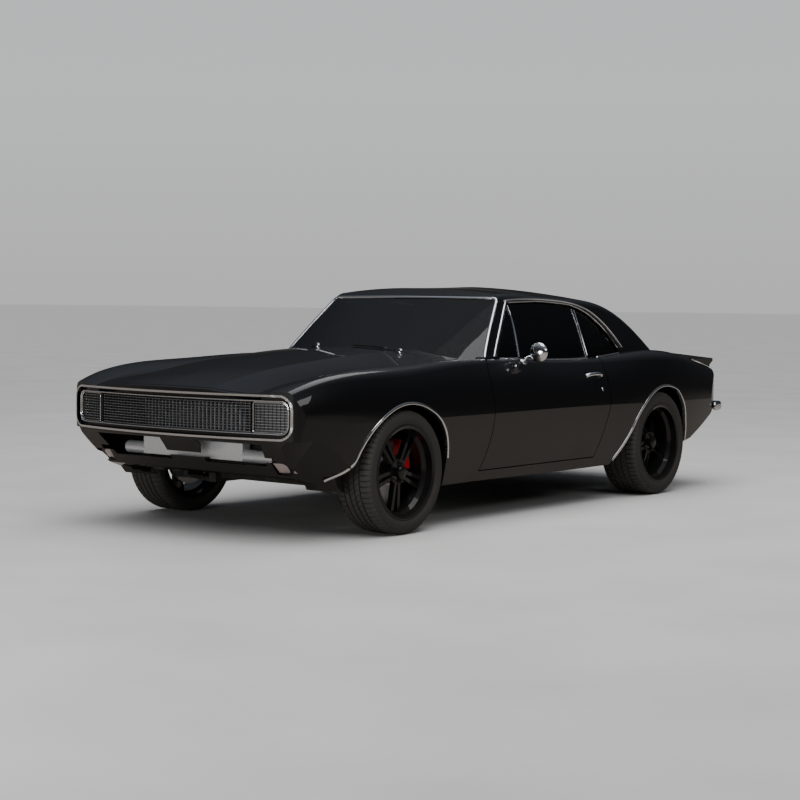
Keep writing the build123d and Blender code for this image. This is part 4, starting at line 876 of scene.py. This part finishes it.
for side, hand in ((1, "left"), (-1, "right")):
    flip = np.array([side, 1, 1])
    fixed = (chrome, f"door_{hand}", "chrome_trim")
    ahead = (side * mirror_toe_out, -1, 0)
    head = lathe(f"mirror_head_{hand}", dome, mirror_centre * flip, ahead, *fixed, rings=40)
    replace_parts(head, f"mirror_{hand}")
    strip(f"mirror_arm_{hand}", arm_line * flip, facing(arm_line, (0, 0, 1)), arm_section, *fixed)
    foot = lathe(f"mirror_foot_{hand}", mirror_foot, on_top[0] * flip, top_out[0] * flip, *fixed, rings=32)
    oval = np.array([vertex.co for vertex in foot.data.vertices])
    oval[:, 1] = foot_y + (oval[:, 1] - foot_y) * foot_stretch
    foot.data.vertices.foreach_set("co", oval.ravel())

# Wipers: black arms that rise from bright pivots on the cowl and lie along the foot of the windshield, with
# a thin blade beside each.
cowl_skin = skin_of("firewall_cowl", "windshield", "hood")
pivot = [(-0.01, 0.0), (-0.01, 0.012), (0.008, 0.012), (0.013, 0.009), (0.014, 0.0)]
arm_lift = np.array([0, 0, 0.012])
blade_off = np.array([0, 0.014, -0.004])
for i, (pivot_x, tip_x) in enumerate(((0.42, -0.02), (-0.2, -0.62))):
    arm = curve_through([
        (pivot_x, -0.86, 0.955), (pivot_x - 0.05, -0.845, 0.965), (pivot_x - 0.22, -0.8, 0.96),
        (tip_x, -0.775, 0.952),
    ], 0.01)
    arm = softened(cast_on(arm, cowl_skin, (0, 0, -1), 0.2)[0], 9) + arm_lift
    blade = arm[len(arm) // 3:] + blade_off
    up_along = facing(arm, (0, 0, 1))
    strip(f"wiper_arm_{i}", arm, up_along, slat(0.008, -0.0015, 0.0015), satin, "root", "black_trim")
    up_along = facing(blade, (0, 0, 1))
    strip(f"wiper_blade_{i}", blade, up_along, slat(0.005, -0.005, 0.003), satin, "root", "black_trim")
    lathe(f"wiper_pivot_{i}", pivot, arm[0], (0, 0, 1), chrome, "root", "chrome_trim", rings=24)

# Seats: foam pads in black vinyl. Each pad is a squarish closed form, remeshed, blown up as cloth and
# subdivided; its sewn channels and the welt round them are pressed in last. A plinth carries a front seat.
vinyl = Finish("black_vinyl")
vinyl_grain = vinyl.add("ShaderNodeTexVoronoi", sockets={"Vector": vinyl.place(), "Scale": 420.0})
vinyl_rub = vinyl.noise(vinyl.place(), 0.09, 4)
vinyl.surface(
    Base_Color=vinyl.ramp(vinyl_rub, [(0.3, (0.014, 0.014, 0.014)), (0.7, (0.026, 0.025, 0.024))]),
    Roughness=vinyl_rub * 0.2 + 0.38,
    Normal=vinyl.bump(vinyl_grain, 0.0003, 0.5),
)
pad_swell, pad_cap, pad_voxel, pad_pressure, pad_frames = 0.012, 0.024, 0.011, 4, 20
channel_pitch, channel_width, channel_depth, welt_width = 0.062, 0.008, 0.009, 0.007


def rounded(v):
    """A sine or cosine to the power 0.3, with its sign kept."""
    return np.sign(v) * np.abs(v) ** 0.3


def placed(mesh):
    """Vertex places of a mesh as rows."""
    place = np.empty(3 * len(mesh.vertices))
    mesh.vertices.foreach_get("co", place)
    return place.reshape(-1, 3)


def result_of(blank):
    """Mesh of an object as its modifiers leave it."""
    return bpy.data.meshes.new_from_object(blank.evaluated_get(bpy.context.evaluated_depsgraph_get()))


def pad(name, centre, axes, half, node=None):
    """Superellipsoid over two angles, remeshed, blown up and subdivided, then pressed in at its seams."""
    half, axes = np.array(half), np.array(axes)
    t = np.linspace(-math.pi / 2, math.pi / 2, 49)[:, None]
    s = np.arange(96) * (2 * math.pi / 96)
    flat = rounded(np.cos(t))
    form = np.stack([flat * rounded(np.cos(s)), flat * rounded(np.sin(s)), rounded(np.sin(t)) + 0 * s], -1)
    form = form * (half - pad_swell)
    mesh = bpy.data.meshes.new(name + "_form")
    mesh.from_pydata(form.reshape(-1, 3).tolist(), [], grid(49, 96).tolist())
    shell = bmesh.new()
    shell.from_mesh(mesh)
    bmesh.ops.remove_doubles(shell, verts=shell.verts, dist=0.0005)
    bmesh.ops.recalc_face_normals(shell, faces=shell.faces)
    shell.to_mesh(mesh)
    shell.free()
    blank = bpy.data.objects.new(name + "_form", mesh)
    bpy.context.scene.collection.objects.link(blank)
    remesh = blank.modifiers.new("even", "REMESH")
    remesh.mode, remesh.voxel_size = "VOXEL", pad_voxel
    even = result_of(blank)
    blank.modifiers.clear()
    blank.data = even
    start = placed(even)
    cloth = blank.modifiers.new("stuffing", "CLOTH")
    cloth.settings.use_pressure = True
    cloth.settings.uniform_pressure_force = pad_pressure
    cloth.settings.effector_weights.gravity = 0
    cloth.point_cache.frame_start, cloth.point_cache.frame_end = 1, pad_frames
    for frame_number in range(1, pad_frames + 1):
        bpy.context.scene.frame_set(frame_number)
    moved = placed(result_of(blank)) - start
    blank.modifiers.clear()
    far = np.linalg.norm(moved, axis=1)[:, None]
    capped = start + moved * np.minimum(1, pad_cap / (far + 1e-9))
    even.vertices.foreach_set("co", capped.ravel())
    bpy.context.scene.frame_set(1)
    blank.modifiers.new("fine", "SUBSURF").levels = 1
    fine = result_of(blank)
    faces = [list(face.vertices) for face in fine.polygons]
    p = np.clip(placed(fine), -half, half)
    bpy.data.objects.remove(blank)
    on_face = np.clip(p[:, 2] / half[2] * 2, 0, 1)
    edge_x, edge_y = half[0] * 0.7, half[1] * 0.78
    inside = (np.abs(p[:, 0]) < edge_x) & (np.abs(p[:, 1]) < edge_y)
    off = np.abs((p[:, 0] + channel_pitch / 2) % channel_pitch - channel_pitch / 2)
    valley = np.exp(-((off / channel_width) ** 2)) * inside
    welt = np.maximum(np.abs(p[:, 0]) - edge_x, np.abs(p[:, 1]) - edge_y)
    valley = np.maximum(valley, np.exp(-((welt / welt_width) ** 2)))
    p[:, 2] -= channel_depth * valley * on_face
    made = piece(name, np.array(centre) + p @ axes, faces, vinyl, "root", sharp=70)
    if node:
        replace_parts(made, node)


def leaning(foot, thick, height, degrees):
    """Middle and axes of a back that leans about its foot; its third axis faces forward."""
    lean = math.radians(degrees)
    rise = np.array([0, math.sin(lean), math.cos(lean)])
    face = np.array([0, -math.cos(lean), math.sin(lean)])
    return np.array(foot) + rise * height / 2 - face * thick / 2, [(-1, 0, 0), rise, face]


level_axes = [(1, 0, 0), (0, 1, 0), (0, 0, 1)]
front_x, plinth_top = 0.39, 0.372
for side, hand in ((1, "left"), (-1, "right")):
    node, x = f"seat_front_{hand}", side * front_x
    pad(f"seat_cushion_{hand}", (x, 0.205, 0.435), level_axes, (0.243, 0.263, 0.064), node)
    pad(f"seat_back_{hand}", *leaning((x, 0.44, 0.46), 0.12, 0.6, 18), (0.243, 0.298, 0.059))
    floor_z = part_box(node)[0][2]
    plinth_line = np.column_stack([np.full(12, x), np.linspace(0.012, 0.428, 12), np.full(12, floor_z)])
    rise = plinth_top - floor_z
    plinth = [(-0.205, 0.0), (-0.19, rise), (0.19, rise), (0.205, 0.0)]
    up_along = facing(plinth_line, (0, 0, 1))
    strip(f"seat_plinth_{hand}", plinth_line, up_along, plinth, satin, "root", "cabin_plastic")
bench_low, bench_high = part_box("seat_rear")[0][2], 0.535
bench_middle = (0, 0.7935, (bench_low + bench_high) / 2)
bench_half = (0.538, 0.19, (bench_high - bench_low) / 2 - 0.001)
pad("seat_cushion_rear", bench_middle, level_axes, bench_half, "seat_rear")
pad("seat_back_rear", *leaning((0, 0.905, 0.505), 0.11, 0.43, 20), (0.538, 0.213, 0.054))

# Rear bumper: a slim chrome blade with a crowned face and rounded tips, wrapped round the tail on two
# arms. Its line is felt out on the car's own bumper from all round.
bumper_skin = skin_of("rear_bumper")
bumper_low, bumper_high = (np.array(corner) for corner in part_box("rear_bumper"))
bumper_z = (bumper_low[2] + bumper_high[2]) / 2
bumper_half = (bumper_high[2] - bumper_low[2]) / 2
blade_step, blade_fall, blade_thick, blade_sunk, tip_length = 0.012, 0.012, 0.007, 0.0005, 0.026
from_middle = Vector((0, bumper_low[1] + 0.012, bumper_z))
sweep = []
for bearing in np.radians(np.linspace(-89.5, 89.5, 241)):
    way = Vector((math.sin(bearing), math.cos(bearing), 0))
    where = bumper_skin.ray_cast(from_middle + way * 4, -way, 6)[0]
    if where is not None:
        sweep.append(where)
blade = evenly(sweep, blade_step)
blade_ahead = np.gradient(softened(blade, 3), axis=0)
blade_ahead /= np.linalg.norm(blade_ahead, axis=1)[:, None]
blade_out = softened(np.cross(blade_ahead, (0, 0, -1)), 5)
from_tip = np.minimum(np.arange(len(blade)), np.arange(len(blade))[::-1]) * blade_step
tip = np.sqrt(np.clip(1 - (1 - np.clip(from_tip / tip_length, 0, 1)) ** 2, 0.05, 1))
t = np.linspace(-1, 1, 13)
fall = blade_fall * t**4 + blade_sunk
face_section = np.stack([t * bumper_half, -fall], -1)
back_section = np.stack([t[::-1] * (bumper_half - 0.004), -fall[::-1] - blade_thick], -1)
section = np.vstack([face_section, back_section])
sections = np.stack([section[:, 0] * tip[:, None], section[:, 1] + 0 * tip[:, None]], -1)
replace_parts(bright("bumper_blade", blade, blade_out, sections), "rear_bumper")
for x, hand in ((-0.38, "right"), (0.38, "left")):
    arm = np.column_stack([np.full(8, x), np.linspace(2.2, cad_box[1][1] - 0.016, 8), np.full(8, bumper_z)])
    up_along = facing(arm, (0, 0, 1))
    strip(f"bumper_arm_{hand}", arm, up_along, slat(0.044, -0.02, 0.02), frame_black, "root", "chrome_trim")

# Cabin and tail: black grained plastic on the dashboard, wheel and column, and red lenses.
grained = Finish("grained_plastic")
leather_grain = grained.add("ShaderNodeTexVoronoi", sockets={"Vector": grained.place(), "Scale": 500.0})
grained.surface(
    Base_Color=(0.02, 0.02, 0.021), Roughness=0.55, Normal=grained.bump(leather_grain, 0.0003, 0.5)
)
dress(["dashboard", "steering_wheel", "steering_column"], grained.material)
lens = Finish("red_lens")
lens.surface(Base_Color=(0.4, 0.005, 0.008), Roughness=0.15, Coat_Weight=1.0)
dress(["tail_lamps"], lens.material)
